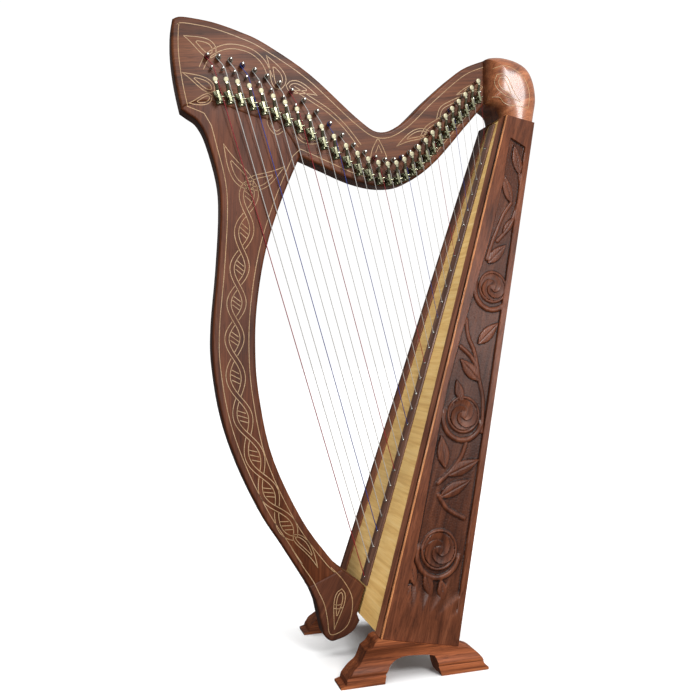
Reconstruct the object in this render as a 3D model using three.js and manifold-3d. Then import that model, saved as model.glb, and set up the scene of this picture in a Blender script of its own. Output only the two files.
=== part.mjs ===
// Floor-standing lever harp with 29 strings, in millimetres.
// +Z is up, +X runs from the pillar to the soundbox, -Y is the side that carries the strings' levers.
// The origin is on the floor under the middle of the instrument.
import * as THREE from 'three';
import { mergeVertices } from 'three/addons/utils/BufferGeometryUtils.js';
import Module from 'manifold-3d';

const wasm = await Module();
wasm.setup();

// ---------------------------------------------------------------- driving dimensions
const GAP = 0.3; // play between touching pieces
const STRINGS = 29;
const NECK_HALF = 18.5; // half thickness of the neck
const PILLAR_HALF = 16.5; // half thickness of the pillar
const SHOULDER_HALF = 46; // half thickness of the shoulder block
const SHOULDER_LEFT = 207.3; // X of the face that the neck butts against
const MIDDLE_SHIFT = 2.307; // brings the middle of the overall length to X = 0

// Soundbox: a tapered box that leans back. s runs up the soundboard, n points out of it.
const BOARD_FOOT = [-16.9, 66.7]; // X, Z of the soundboard's lower edge
const BOARD_LEAN = THREE.MathUtils.degToRad(17.12);
const BOARD_LENGTH = 851;
const BOX_DEPTH_LOW = 130.5;
const BOX_DEPTH_HIGH = 53.6;
const BOX_RISE_LOW = 10.3; // how far up s the lower end has moved at the back
const BOX_RISE_HIGH = 8.5;
const BOX_HALF = 126; // half width at the lower front corner
const BOX_TAPER = 0.08896; // half width lost per millimetre of s
const BOX_FLARE = 0.054; // half width lost per millimetre of depth
const BOARD_FACE = -3; // the soundboard's face lies this far below the trims' face
const BOARD_THICK = 4;
const SIDE_THICK = 8;
const BACK_THICK = 5;
const TRIM_WIDTH = 27.5;
const BOTTOM_THICK = 12;
const TOP_THICK = 32;
const BASE_BLOCK = { top: 50, depth: 32 };
const STRING_RIB = { start: 46, end: BOARD_LENGTH - 4, halfLow: 16, halfHigh: 10 };
const INNER_RIB = { start: 60, end: BOARD_LENGTH - 40, thick: 4, setback: 2 };
const LINING = { start: BASE_BLOCK.top + 1, end: BOARD_LENGTH - 34, wide: 10, deep: 12 };
const BRACE = { wide: 12, tall: 16, spots: { low: 205, middle: 425, high: 645 } };
const SOUND_HOLES = [
  { at: 120, long: 46, wide: 34 },
  { at: 322, long: 44, wide: 31 },
  { at: 542, long: 40, wide: 26 },
  { at: 738, long: 32, wide: 20 },
];

// Screws and the bolt: radii of the shank, its hole and the head, and lengths along the axis.
const BOLT = { s: 28, shank: 4, hole: 4.4, head: 7.5, headHeight: 6, under: -38.6, length: 52 };
const SHOULDER_SCREW = { shank: 3, hole: 3.4, head: 5.5, headHeight: 3.6, under: 5, length: 58 };
const SHOULDER_SCREW_DEPTHS = { front: -18, back: -36 };
const FOOT_SCREW = { shank: 2, hole: 2.4, head: 4.5, sink: 5, headHeight: 3.4, tip: 9 };
const FOOT_SCREWS = { front: { x: 22, seat: -18 }, back: { x: 60, seat: -11 } };
const STEP = 0.1; // length of the step from a screw's head to its shank

// Strings: the first and last points on the rib, and the lean of each string from vertical.
const RIB_FIRST = [-0.4, 120.2];
const RIB_LAST = [219.9, 835.2];
const RIB_CROWDING = 0.05; // strings are a little closer together in the bass
const LEAN_BASS = 17.02;
const LEAN_TREBLE = 13.8;
const STRING_RADIUS_BASS = 0.95;
const STRING_RADIUS_TREBLE = 0.35;
const STRING_OFFSET = 26.6; // strings pass the bridge pins this far out from the middle plane
const BRIDGE_TIP = 28.4;
const BRIDGE_RADIUS = 1.6;
const TUNING_RADIUS = 2.6;
const TUNING_TIP = 34;
const TUNING_SIDEWAYS = 9;
const LEVER_FRACTION = 0.056; // a semitone is this part of the string's length
const LEVER_MIN = 9;
// Height of a tuning pin above its bridge pin, and the hump of that height over the low strings.
const TUNING_LIFT = 14.5;
const LIFT_HUMP = { height: 5.5, at: 0.27, width: 0.14 };
const PIN_SQUARE = { start: 1, length: 16, low: 3.1, high: 2.7 }; // the end that takes the key
const BRIDGE_SHANK = 9; // depth of each bridge pin in the wood

// Levers, in a frame whose x runs across the string, y up the string and z outward.
const CAM_REACH = 3.3; // cam pin to pivot
const CAM_RADIUS = 1;
const CAM_PLAY = 0.35; // between a string and the pins in front of it and behind it
const CHEEK = [-8.4, -4.1]; // the handle's cheek, across the string
const LUG = [-10.8, -8.7]; // the bracket's lug beside it
const PINS_END = 2.2; // inner end of the cam pin and the fret ridges, across the string
const KNOB_RADIUS = 4.3;
const KNOB_HEIGHT = 24;
const PIVOT_RADIUS = 1.1;
const PIVOT_HOLE = 1.9; // half diagonal of the square hole round the pivot
const PLATE_THICK = 2.5;
const PLATE_SUNK = 0.5; // depth of a bracket's plate in the wood
const PLATE_LOW = -8;
const LUG_HALF = 3.2;
const LUG_OVER = 2.6; // how far a lug reaches past its pivot
const LONG_PLATE = { needs: 20, top: 12, ridges: [-5, 9] }; // where there is room for two frets
const SHORT_PLATE = { top: 5.5, ridges: [-5] };

// Feet
const FOOT_INNER = 93;
const FOOT_OUTER = 128;
const FOOT_MIDDLE = 105; // where the foot screws go in

// Shoulder block: how far its faces are rounded over, across and along the outline.
const SHOULDER_ROUND = { across: 20, along: 15, layers: 6 };

// ---------------------------------------------------------------- materials
const material = (color, roughness, metalness) =>
  new THREE.MeshStandardMaterial({ color, roughness, metalness });
const rosewood = () => material(0x6b3a25, 0.4, 0);
const spruce = () => material(0xb98a4a, 0.5, 0);
const walnut = () => material(0x5a3a24, 0.5, 0);
const paleWood = () => material(0xc9a878, 0.7, 0);
const footWood = () => material(0x8a4a28, 0.4, 0);
const steel = () => material(0xb9b6ac, 0.3, 1);
const brass = () => material(0x9a8f5c, 0.3, 1);

const harp = new THREE.Group();
const add = (name, geometry, mat) => {
  const mesh = new THREE.Mesh(geometry, mat);
  mesh.name = name;
  harp.add(mesh);
  return mesh;
};

// ---------------------------------------------------------------- solids
const plain = (geometry) => {
  if (geometry.index && !geometry.attributes.normal) {
    return geometry; // its corners are shared already
  }
  geometry.deleteAttribute('normal');
  geometry.deleteAttribute('uv');
  return mergeVertices(geometry, 1e-4);
};

const toSolid = (geometry) => {
  const merged = plain(geometry);
  return new wasm.Manifold(new wasm.Mesh({
    numProp: 3,
    vertProperties: new Float32Array(merged.attributes.position.array),
    triVerts: new Uint32Array(merged.index.array),
  }));
};

const fromSolid = (solid) => {
  const mesh = solid.getMesh();
  const geometry = new THREE.BufferGeometry();
  geometry.setAttribute('position', new THREE.BufferAttribute(mesh.vertProperties, 3));
  geometry.setIndex(new THREE.BufferAttribute(mesh.triVerts, 1));
  return geometry;
};

const join = (...geometries) => fromSolid(geometries.map(toSolid).reduce((a, b) => a.add(b)));
const cut = (geometry, ...tools) =>
  fromSolid(tools.map(toSolid).reduce((rest, tool) => rest.subtract(tool), toSolid(geometry)));

// A closed skin through rings of points that all have the same count. The end caps are fans,
// unless the triangles of a cap that bends inwards are given.
function loft(rings, capTriangles) {
  const count = rings[0].length;
  const positions = rings.flat(2);
  const index = [];
  for (let r = 0; r < rings.length - 1; r += 1) {
    for (let i = 0; i < count; i += 1) {
      const a = r * count + i;
      const b = r * count + ((i + 1) % count);
      index.push(a, b, b + count, a, b + count, a + count);
    }
  }
  const last = (rings.length - 1) * count;
  const fan = Array.from({ length: count - 2 }, (_, i) => [0, i + 1, i + 2]);
  const caps = capTriangles ?? fan;
  const turn = capTriangles && windingOf(capTriangles, count) < 0;
  for (const [a, b, c] of caps) {
    const [first, second] = turn ? [b, a] : [a, b];
    index.push(first, c, second, last + first, last + second, last + c);
  }
  const geometry = new THREE.BufferGeometry();
  geometry.setAttribute('position', new THREE.Float32BufferAttribute(positions, 3));
  geometry.setIndex(signedVolume(positions, index) < 0 ? index.reverse() : index);
  return geometry;
}

// Whether the cap's triangles run the same way round as the ring's own numbering.
function windingOf(triangles, count) {
  const follows = triangles.flatMap(([a, b, c]) => [[a, b], [b, c], [c, a]])
    .some(([from, to]) => to === (from + 1) % count);
  return follows ? 1 : -1;
}

// Moves each corner of a closed outline inwards by the same distance.
function insetOutline(points, distance) {
  const clockwise = THREE.ShapeUtils.isClockWise(points) ? -1 : 1;
  return points.map((point, i) => {
    const before = points[(i + points.length - 1) % points.length];
    const after = points[(i + 1) % points.length];
    const arrive = point.clone().sub(before).normalize();
    const leave = after.clone().sub(point).normalize();
    const along = arrive.clone().add(leave).normalize();
    const normal = new THREE.Vector2(-along.y, along.x).multiplyScalar(clockwise);
    const stretch = Math.max(0.6, Math.abs(along.dot(leave)));
    return point.clone().addScaledVector(normal, distance / stretch);
  });
}

function signedVolume(positions, index) {
  const corner = (i) => new THREE.Vector3().fromArray(positions, index[i] * 3);
  let sum = 0;
  for (let i = 0; i < index.length; i += 3) {
    sum += corner(i).dot(corner(i + 1).cross(corner(i + 2)));
  }
  return sum;
}

// A plate whose outline is drawn in X and Z, between two values of Y.
function slab(shape, yLow, yHigh, options = {}) {
  const bevel = options.bevelThickness ?? 0;
  const geometry = new THREE.ExtrudeGeometry(shape, {
    depth: yHigh - yLow - 2 * bevel,
    bevelEnabled: bevel > 0,
    curveSegments: 6,
    ...options,
  });
  return geometry.rotateX(Math.PI / 2).translate(0, yHigh - bevel, 0);
}

const spline = (points, steps) =>
  new THREE.SplineCurve(points.map(([x, z]) => new THREE.Vector2(x, z))).getPoints(steps);
const outline = (...stretches) => {
  const points = [];
  for (const point of stretches.flat()) {
    const vector = Array.isArray(point) ? new THREE.Vector2(...point) : point;
    const before = points[points.length - 1];
    if (!before || before.distanceTo(vector) > 0.5) {
      points.push(vector);
    }
  }
  return new THREE.Shape(points);
};

// A straight rod with regular cross-sections, given as [distance along the axis, radius].
function rod(start, axis, sections, sides) {
  const along = new THREE.Vector3(...axis).normalize();
  const across = new THREE.Vector3(0, 0, 1).cross(along);
  if (across.length() < 0.1) {
    across.set(1, 0, 0);
  }
  across.normalize();
  const upward = along.clone().cross(across);
  return loft(sections.map(([distance, radius]) => {
    const ring = [];
    for (let i = 0; i < sides; i += 1) {
      const angle = (i + 0.5) * 2 * Math.PI / sides;
      const point = new THREE.Vector3(...start)
        .addScaledVector(along, distance)
        .addScaledVector(across, radius * Math.cos(angle))
        .addScaledVector(upward, radius * Math.sin(angle));
      ring.push(point.toArray());
    }
    return ring;
  }));
}

// ---------------------------------------------------------------- soundbox
const UP = [Math.sin(BOARD_LEAN), Math.cos(BOARD_LEAN)];
const OUT = [-Math.cos(BOARD_LEAN), Math.sin(BOARD_LEAN)];
const UPWARD = [UP[0], 0, UP[1]];
const OUTWARD = [OUT[0], 0, OUT[1]];
const SCREW_SIDES = 8;
const boxPoint = (s, n, y) => [
  BOARD_FOOT[0] + UP[0] * s + OUT[0] * n,
  y,
  BOARD_FOOT[1] + UP[1] * s + OUT[1] * n,
];
const halfWidth = (s, n) => BOX_HALF - BOX_TAPER * s + BOX_FLARE * n;
const depthAt = (s) => THREE.MathUtils.mapLinear(
  s, BOX_RISE_LOW, BOARD_LENGTH + BOX_RISE_HIGH, BOX_DEPTH_LOW, BOX_DEPTH_HIGH);
const lowEnd = (n) => -n * BOX_RISE_LOW / BOX_DEPTH_LOW;
const highEnd = (n) => BOARD_LENGTH - n * BOX_RISE_HIGH / BOX_DEPTH_HIGH;

// A block between two ends in s, two depths in n and two widths in y. Each bound is a function.
function block(sRange, nRange, yRange) {
  const rings = [0, 1].map((end) => [[0, 0], [1, 0], [1, 1], [0, 1]].map(([j, k]) => {
    let s = end ? BOARD_LENGTH : 0;
    let n = 0;
    for (let pass = 0; pass < 3; pass += 1) {
      n = nRange[j](s);
      s = sRange[end](n);
    }
    return boxPoint(s, n, yRange[k](s, n));
  }));
  return loft(rings);
}
const fixed = (value) => () => value;
const inner = (margin) => (s, n) => halfWidth(s, n) - margin;
const innerOther = (margin) => (s, n) => margin - halfWidth(s, n);

const boardUnder = BOARD_FACE - BOARD_THICK;
const underBoard = boardUnder - GAP;
const aboveBack = (s) => -depthAt(s) + BACK_THICK + GAP;
const boltHole = (from, to) =>
  rod(boxPoint(BOLT.s, from, 0), OUTWARD, [[0, BOLT.hole], [to - from, BOLT.hole]], SCREW_SIDES);

const soundboard = block(
  [lowEnd, highEnd],
  [fixed(boardUnder), fixed(BOARD_FACE)],
  [innerOther(0), inner(0)]);
add('soundboard', cut(soundboard, boltHole(-12, 4)), spruce());

const sideDepth = [aboveBack, fixed(underBoard)];
const sideEnds = [lowEnd, highEnd];
add('side_panel_left',
  block(sideEnds, sideDepth, [innerOther(0), innerOther(SIDE_THICK)]), rosewood());
add('side_panel_right',
  block(sideEnds, sideDepth, [inner(SIDE_THICK), inner(0)]), rosewood());

const trimFace = [fixed(BOARD_FACE + GAP), fixed(0)];
add('soundboard_trim_left',
  block([lowEnd, highEnd], trimFace, [innerOther(0), innerOther(TRIM_WIDTH)]),
  rosewood());
add('soundboard_trim_right',
  block([lowEnd, highEnd], trimFace, [inner(TRIM_WIDTH), inner(0)]), rosewood());

const ribHalf = (s) =>
  THREE.MathUtils.mapLinear(s, 0, BOARD_LENGTH, STRING_RIB.halfLow, STRING_RIB.halfHigh);
const ribEnds = [fixed(STRING_RIB.start), fixed(STRING_RIB.end)];
const ribStrip = block(ribEnds, trimFace, [(s) => -ribHalf(s), (s) => ribHalf(s)]);
add('inner_rib',
  block(
    [fixed(INNER_RIB.start), fixed(INNER_RIB.end)],
    [fixed(underBoard - INNER_RIB.thick), fixed(underBoard)],
    [(s) => INNER_RIB.setback - ribHalf(s), (s) => ribHalf(s) - INNER_RIB.setback]),
  paleWood());

const insideSides = [innerOther(SIDE_THICK + GAP), inner(SIDE_THICK + GAP)];
const insideDepth = [(s) => aboveBack(s) + GAP, fixed(underBoard - GAP)];
const footTop = (x) => 66.2 - (x + 16.9) * 0.224; // just under the sloping floor of the box
const footScrewRod = ({ x }, side, sections) =>
  rod([x, side * FOOT_MIDDLE, footTop(x)], UPWARD, sections, SCREW_SIDES);
const footScrewHoles = (side) => {
  const under = -30; // below the foot's arch
  const over = 14; // above the bottom board
  return Object.values(FOOT_SCREWS).flatMap((screw) => [
    footScrewRod(screw, side, [[under, FOOT_SCREW.hole], [over, FOOT_SCREW.hole]]),
    footScrewRod(screw, side, [[under, FOOT_SCREW.sink], [screw.seat, FOOT_SCREW.sink]]),
  ]);
};

const bottomBoard = block(
  [lowEnd, (n) => lowEnd(n) + BOTTOM_THICK], insideDepth, insideSides);
add('bottom_board', cut(bottomBoard, ...footScrewHoles(-1), ...footScrewHoles(1)), paleWood());
const baseBlock = block(
  [(n) => lowEnd(n) + BOTTOM_THICK + GAP, fixed(BASE_BLOCK.top)],
  [fixed(-BASE_BLOCK.depth), fixed(underBoard - GAP)], insideSides);
add('base_block', cut(baseBlock, boltHole(-40, 4)), paleWood());
const shoulderScrewHole = (n) => {
  const reach = 90; // through the top block and up into the shoulder
  return rod(boxPoint(BOARD_LENGTH - 60, n, 0), UPWARD,
    [[0, SHOULDER_SCREW.hole], [reach, SHOULDER_SCREW.hole]], SCREW_SIDES);
};
const shoulderScrewHoles = Object.values(SHOULDER_SCREW_DEPTHS).map(shoulderScrewHole);
const topBlock = block(
  [(n) => highEnd(n) - TOP_THICK, (n) => highEnd(n)], insideDepth, insideSides);
add('top_block', cut(topBlock, ...shoulderScrewHoles), paleWood());
for (const [place, n] of Object.entries(SHOULDER_SCREW_DEPTHS)) {
  const { shank, head, headHeight, under, length } = SHOULDER_SCREW;
  add(`shoulder_screw_${place}`, rod(
    boxPoint(highEnd(n) - TOP_THICK - under, n, 0), UPWARD,
    [[0, head], [headHeight, head], [headHeight + STEP, shank], [length, shank]],
    SCREW_SIDES), steel());
}

const liningEnds = [fixed(LINING.start), fixed(LINING.end)];
const liningDepth = [fixed(underBoard - LINING.deep), fixed(underBoard - GAP)];
const liningFace = SIDE_THICK + LINING.wide;
add('lining_left',
  block(liningEnds, liningDepth, [insideSides[0], innerOther(liningFace)]), paleWood());
add('lining_right',
  block(liningEnds, liningDepth, [inner(liningFace), insideSides[1]]), paleWood());

for (const [place, s] of Object.entries(BRACE.spots)) {
  add(`cross_brace_${place}`, block(
    [fixed(s), fixed(s + BRACE.wide)],
    [(at) => aboveBack(at) + GAP, (at) => aboveBack(at) + BRACE.tall],
    insideSides), paleWood());
}

// The back is a flat board with four oval sound holes between the braces.
const backLow = boxPoint(BOX_RISE_LOW, -BOX_DEPTH_LOW, 0);
const backHigh = boxPoint(BOARD_LENGTH + BOX_RISE_HIGH, -BOX_DEPTH_HIGH, 0);
const backUp = new THREE.Vector3(...backHigh).sub(new THREE.Vector3(...backLow));
const backLength = backUp.length();
backUp.normalize();
const backAcross = new THREE.Vector3(0, 1, 0);
const backNormal = backAcross.clone().cross(backUp);
{
  const low = halfWidth(BOX_RISE_LOW, -BOX_DEPTH_LOW);
  const high = halfWidth(BOARD_LENGTH + BOX_RISE_HIGH, -BOX_DEPTH_HIGH);
  const topPlay = 1; // under the shoulder block
  const shape = new THREE.Shape([
    new THREE.Vector2(-low, 0),
    new THREE.Vector2(low, 0),
    new THREE.Vector2(high, backLength - topPlay),
    new THREE.Vector2(-high, backLength - topPlay),
  ]);
  for (const hole of SOUND_HOLES) {
    const path = new THREE.Path();
    path.absellipse(0, hole.at, hole.wide, hole.long, 0, 2 * Math.PI, true);
    shape.holes.push(path);
  }
  const plate = new THREE.ExtrudeGeometry(shape, {
    depth: BACK_THICK, bevelEnabled: false, curveSegments: 20,
  });
  const place = new THREE.Matrix4().makeBasis(backAcross, backUp, backNormal);
  place.setPosition(new THREE.Vector3(...backLow).addScaledVector(backNormal, -BACK_THICK));
  add('back_panel', plate.applyMatrix4(place), rosewood());
}

// ---------------------------------------------------------------- feet
const footOutline = outline(
  [[-79, 0], [-79, 3], [-71, 5], [-69, 12]],
  spline([[-65, 17], [-57, 25], [-48, 31.6], [-43.5, 40]], 6),
  [[-39.4, 50.4]],
  spline([[-35, 53], [-29, 57.5], [-25, 64], [-19, 66.1]], 4),
  [[-16.9, footTop(-16.9)], [110.6, footTop(110.6)]],
  spline([[116, 37.6], [131, 33.6], [141, 27], [149, 17], [151, 7]], 7),
  [[158, 4], [158, 0], [80, 0]],
  spline([[76, 11], [72.6, 25.4], [66, 31.5], [40, 34.5], [18, 34.6], [2, 28], [-8, 16], [-11, 0]], 12));
for (const [side, name] of [[-1, 'left'], [1, 'right']]) {
  const { shank, head, headHeight, tip } = FOOT_SCREW;
  const ends = [side * FOOT_INNER, side * FOOT_OUTER];
  const board = slab(footOutline, Math.min(...ends), Math.max(...ends));
  add(`foot_${name}`, cut(board, ...footScrewHoles(side)), footWood());
  for (const [place, screw] of Object.entries(FOOT_SCREWS)) {
    const seat = screw.seat - GAP;
    add(`foot_screw_${place}_${name}`, footScrewRod(screw, side, [
      [seat - headHeight, head], [seat, head], [seat + STEP, shank], [tip, shank],
    ]), steel());
  }
}

// ---------------------------------------------------------------- pillar, neck and blocks
const jointLine = [
  [-110, 795], [-125.6, 822], [-145.6, 844.5], [-179.5, 849.5],
  [-216.7, 860], [-245.4, 867], [-270, 864], [-292, 853.5],
];
const neckTop = [
  [-304, 986], [-293, 991], [-271, 991], [-241, 988], [-203, 979], [-165, 965.5], [-93, 925],
  [-14, 862], [23, 843.5], [61, 861], [109, 908], [165, 957], [SHOULDER_LEFT - GAP, 977.5],
];
const neckBottom = [
  [SHOULDER_LEFT - GAP, 901], [174, 863], [119, 801], [70, 765], [26, 756],
  [-20, 762.5], [-67, 779], [-110, 795],
];
const headEdge = [[-292, 853.5], [-298, 880], [-303, 909], [-306, 939], [-306, 968], [-304, 986]];
const JOINT_STEPS = 18;
const neckShape = outline(
  spline(jointLine, JOINT_STEPS),
  spline(headEdge, 8),
  spline(neckTop, 34),
  spline(neckBottom, 22).slice(0, -1));

const pillarInner = [
  [-110, 794], [-139, 725], [-163, 650], [-177, 570], [-181, 500], [-176, 425],
  [-155, 326], [-109, 226], [-64, 162], [-44.8, 142.2],
];
const pillarOuter = [
  [-99, 119.5], [-137, 181], [-171, 235], [-208, 313], [-233, 389], [-246, 470], [-246.5, 530],
  [-239, 613], [-234, 698], [-237, 750], [-253, 809], [-267, 836], [-281, 846], [-292, 853],
];
const belowJoint = spline(jointLine, JOINT_STEPS).reverse().map((point) =>
  new THREE.Vector2(point.x, point.y - 2 * GAP));
add('pillar', slab(outline(
  spline(pillarInner, 22),
  spline(pillarOuter, 30).slice(0, -1),
  belowJoint.slice(0, -1)), -PILLAR_HALF, PILLAR_HALF), rosewood());

const footBlockFace = (s) => boxPoint(s, GAP, 0);
const footBlockShape = outline(
  [[-98.7, 119.1], [-93, 108.5]],
  spline([[-85, 89], [-81, 70], [-77, 53], [-73, 38], [-62, 27.5], [-48.7, 28.8], [-35.3, 33],
    [-21.8, 42], [-13.5, 55]], 16),
  [[-17.6, 66.2]],
  [footBlockFace(2), footBlockFace(44)].map(([x, , z]) => [x, z]),
  spline([[-9, 114], [-27, 128.5], [-44.4, 141.7]], 5));
add('pillar_foot_block',
  cut(slab(footBlockShape, -PILLAR_HALF, PILLAR_HALF), boltHole(-12, 15)), rosewood());
add('pillar_bolt', rod(boxPoint(BOLT.s, BOLT.under, 0), OUTWARD, [
  [0, BOLT.head], [BOLT.headHeight, BOLT.head],
  [BOLT.headHeight + STEP, BOLT.shank], [BOLT.length, BOLT.shank],
], SCREW_SIDES), steel());

const shoulderShape = outline(
  spline([[SHOULDER_LEFT, 977], [217, 980.7], [238, 982.6], [265, 978], [285, 966.5], [297, 945],
    [301.5, 916], [297, 886], [290, 840]], 14),
  [[234, 840]],
  spline([[233.6, 882], [229.9, 893.6], [219, 901.5], [SHOULDER_LEFT, 902.5]], 6));
{
  const { across, along, layers } = SHOULDER_ROUND;
  const points = shoulderShape.getPoints();
  const rings = [];
  for (let layer = 0; layer <= 2 * layers + 1; layer += 1) {
    const low = layer <= layers;
    const angle = (low ? layers - layer : layer - layers - 1) * Math.PI / 2 / layers;
    const y = SHOULDER_HALF - across + across * Math.sin(angle);
    const inset = along * (1 - Math.cos(angle));
    rings.push(insetOutline(points, inset).map((point) => [point.x, low ? -y : y, point.y]));
  }
  const pillow = loft(rings, THREE.ShapeUtils.triangulateShape(points, []));
  // Everything below the soundbox's upper end, out to well past the pillow.
  const seat = block([fixed(700), (n) => highEnd(n) + GAP], [fixed(-110), fixed(60)],
    [fixed(-80), fixed(80)]);
  add('shoulder_block', cut(pillow, seat, ...shoulderScrewHoles), rosewood());
}

// ---------------------------------------------------------------- strings and their pins
const bridgeLine = new THREE.SplineCurve([
  [-262, 917], [-244.7, 918.6], [-212, 915.5], [-157.9, 894.5], [-100, 862.5], [-36, 814],
  [3.5, 790.5], [38.8, 781.9], [68.5, 790.6], [105.3, 821], [151, 873], [198.9, 922.4], [215, 939],
].map(([x, z]) => new THREE.Vector2(x, z)));

// Where a line from start, leaning from vertical towards the pillar, crosses the bridge line.
function bridgeCrossing(start, lean) {
  const side = (u) => {
    const point = bridgeLine.getPoint(u);
    return (point.x - start.x) * Math.cos(lean) + (point.y - start.y) * Math.sin(lean);
  };
  let low = 0;
  let high = 1;
  for (let pass = 0; pass < 40; pass += 1) {
    const middle = (low + high) / 2;
    if (side(middle) < 0) {
      low = middle;
    } else {
      high = middle;
    }
  }
  return bridgeLine.getPoint(low);
}

const spot = (x, out, z) => new THREE.Vector3(x, -out, z);
const strings = [];
for (let k = 0; k < STRINGS; k += 1) {
  const even = k / (STRINGS - 1);
  const t = even - RIB_CROWDING * even * (1 - even);
  const radius = THREE.MathUtils.lerp(STRING_RADIUS_BASS, STRING_RADIUS_TREBLE, even);
  const lean = THREE.MathUtils.degToRad(THREE.MathUtils.lerp(LEAN_BASS, LEAN_TREBLE, even));
  const rib = new THREE.Vector2(
    THREE.MathUtils.lerp(RIB_FIRST[0], RIB_LAST[0], t),
    THREE.MathUtils.lerp(RIB_FIRST[1], RIB_LAST[1], t));
  const bridge = bridgeCrossing(rib, lean);
  const length = bridge.distanceTo(rib);
  const across = new THREE.Vector2(Math.cos(lean), Math.sin(lean));
  const upward = new THREE.Vector2(-Math.sin(lean), Math.cos(lean));
  const hump = Math.exp(-(((even - LIFT_HUMP.at) / LIFT_HUMP.width) ** 2));
  const lift = TUNING_LIFT + LIFT_HUMP.height * hump;
  const tuning = new THREE.Vector2(bridge.x - TUNING_SIDEWAYS, bridge.y + lift);
  const windUp = tuning.clone().addScaledVector(across, -(TUNING_RADIUS + radius + GAP));
  const above = windUp.clone().sub(bridge).normalize();
  const bend = Math.acos(Math.min(1, above.dot(upward)));
  const reach = (BRIDGE_RADIUS + radius + GAP) / Math.cos(bend / 2);
  const middle = above.clone().add(upward).normalize();
  const pin = bridge.clone().add(new THREE.Vector2(-middle.y, middle.x).multiplyScalar(reach));
  const down = Math.max(LEVER_MIN, LEVER_FRACTION * length);
  const lever = bridge.clone().addScaledVector(upward, -down);
  const leverOut = STRING_OFFSET * (1 - down / length);
  strings.push({ even, radius, lean, rib, bridge, length, across, upward, tuning, windUp, pin,
    down, lever, leverOut });
}

const PIN_SIDES = 6;

// A string runs straight from its eyelet to the bridge pin and on to the tuning pin.
function stringSolid({ rib, radius, bridge, windUp }) {
  const path = [
    spot(rib.x - OUT[0], 0, rib.y - OUT[1]),
    spot(bridge.x, STRING_OFFSET, bridge.y),
    spot(windUp.x, STRING_OFFSET, windUp.y),
  ];
  const steps = [path[1].clone().sub(path[0]).normalize(), path[2].clone().sub(path[1]).normalize()];
  const tangents = [steps[0], steps[0].clone().add(steps[1]).normalize(), steps[1]];
  return loft(path.map((centre, i) => {
    const sideways = new THREE.Vector3(0, 1, 0).cross(tangents[i]).normalize();
    const outward = tangents[i].clone().cross(sideways);
    const ring = [];
    for (let corner = 0; corner < PIN_SIDES; corner += 1) {
      const angle = corner * 2 * Math.PI / PIN_SIDES;
      ring.push(centre.clone()
        .addScaledVector(sideways, radius * Math.cos(angle))
        .addScaledVector(outward, radius * Math.sin(angle))
        .toArray());
    }
    return ring;
  }));
}
const eyelet = ({ rib }) =>
  rod([rib.x - OUT[0], 0, rib.y - OUT[1]], OUTWARD, [[0, 2.8], [1.7, 2.3]], PIN_SIDES);
add('string_rib_and_strings',
  join(ribStrip, ...strings.map(eyelet), ...strings.map(stringSolid)), walnut());

// Tuning pins go right through the neck; their square ends take the key on the far side.
const ACROSS_NECK = [0, 1, 0];
const tuningPin = ({ tuning }) => {
  const tip = [tuning.x, -TUNING_TIP, tuning.y];
  const farFace = TUNING_TIP + NECK_HALF;
  const shankEnd = farFace - 8;
  const squareStart = farFace - PIN_SQUARE.start;
  return [
    rod(tip, ACROSS_NECK, [[0, TUNING_RADIUS], [shankEnd, TUNING_RADIUS]], PIN_SIDES),
    rod(tip, ACROSS_NECK,
      [[squareStart, PIN_SQUARE.low], [squareStart + PIN_SQUARE.length, PIN_SQUARE.high]], 4),
  ];
};
const bridgePin = ({ pin }) => rod(
  [pin.x, -BRIDGE_TIP, pin.y], ACROSS_NECK,
  [[0, BRIDGE_RADIUS], [BRIDGE_TIP - NECK_HALF + BRIDGE_SHANK, BRIDGE_RADIUS]], PIN_SIDES);

// ---------------------------------------------------------------- levers
const basis = (x, y, z) => new THREE.Matrix4().makeBasis(
  new THREE.Vector3(...x), new THREE.Vector3(...y), new THREE.Vector3(...z));
// Turns a plate drawn in (up the string, outward) and extruded along z into the lever's frame.
const sideways = basis([0, 1, 0], [0, 0, 1], [1, 0, 0]);
const bar = (xRange, yRange, zRange) =>
  new THREE.BoxGeometry(
    xRange[1] - xRange[0], yRange[1] - yRange[0], zRange[1] - zRange[0],
  ).translate(
    (xRange[0] + xRange[1]) / 2, (yRange[0] + yRange[1]) / 2, (zRange[0] + zRange[1]) / 2);
const crossPin = (xRange, y, z, radius) =>
  rod([xRange[0], y, z], [1, 0, 0], [[0, radius], [xRange[1] - xRange[0], radius]], PIN_SIDES);

// The handle: a cranked cheek with a round knob, a cam pin over the string and a pivot stub.
function handleGeometry() {
  const profile = new THREE.Shape([
    [-7, -2], [-4.5, -2], [-3.5, -4.3], [3.5, -4.3], [4.5, -2], [11, -2], [19, 6.4],
    [24, 6.4], [24, 8.7], [17.5, 8.7], [9, 2], [-7, 2],
  ].map(([y, z]) => new THREE.Vector2(y, z)));
  const cheek = new THREE.ExtrudeGeometry(profile, {
    depth: CHEEK[1] - CHEEK[0], bevelEnabled: false,
  }).applyMatrix4(sideways).translate(CHEEK[0], 0, 0);
  const knob = rod([(CHEEK[0] + CHEEK[1]) / 2, KNOB_HEIGHT, 6.3], [0, 0, 1],
    [[0, KNOB_RADIUS], [2.6, KNOB_RADIUS]], 10);
  const cam = crossPin([CHEEK[1] - 1, PINS_END], 0, -CAM_REACH, CAM_RADIUS);
  const pivot = crossPin([LUG[0] + 0.2, CHEEK[0] + 1], 0, 0, PIVOT_RADIUS);
  return join(cheek, knob, cam, pivot);
}
const handle = handleGeometry();

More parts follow.
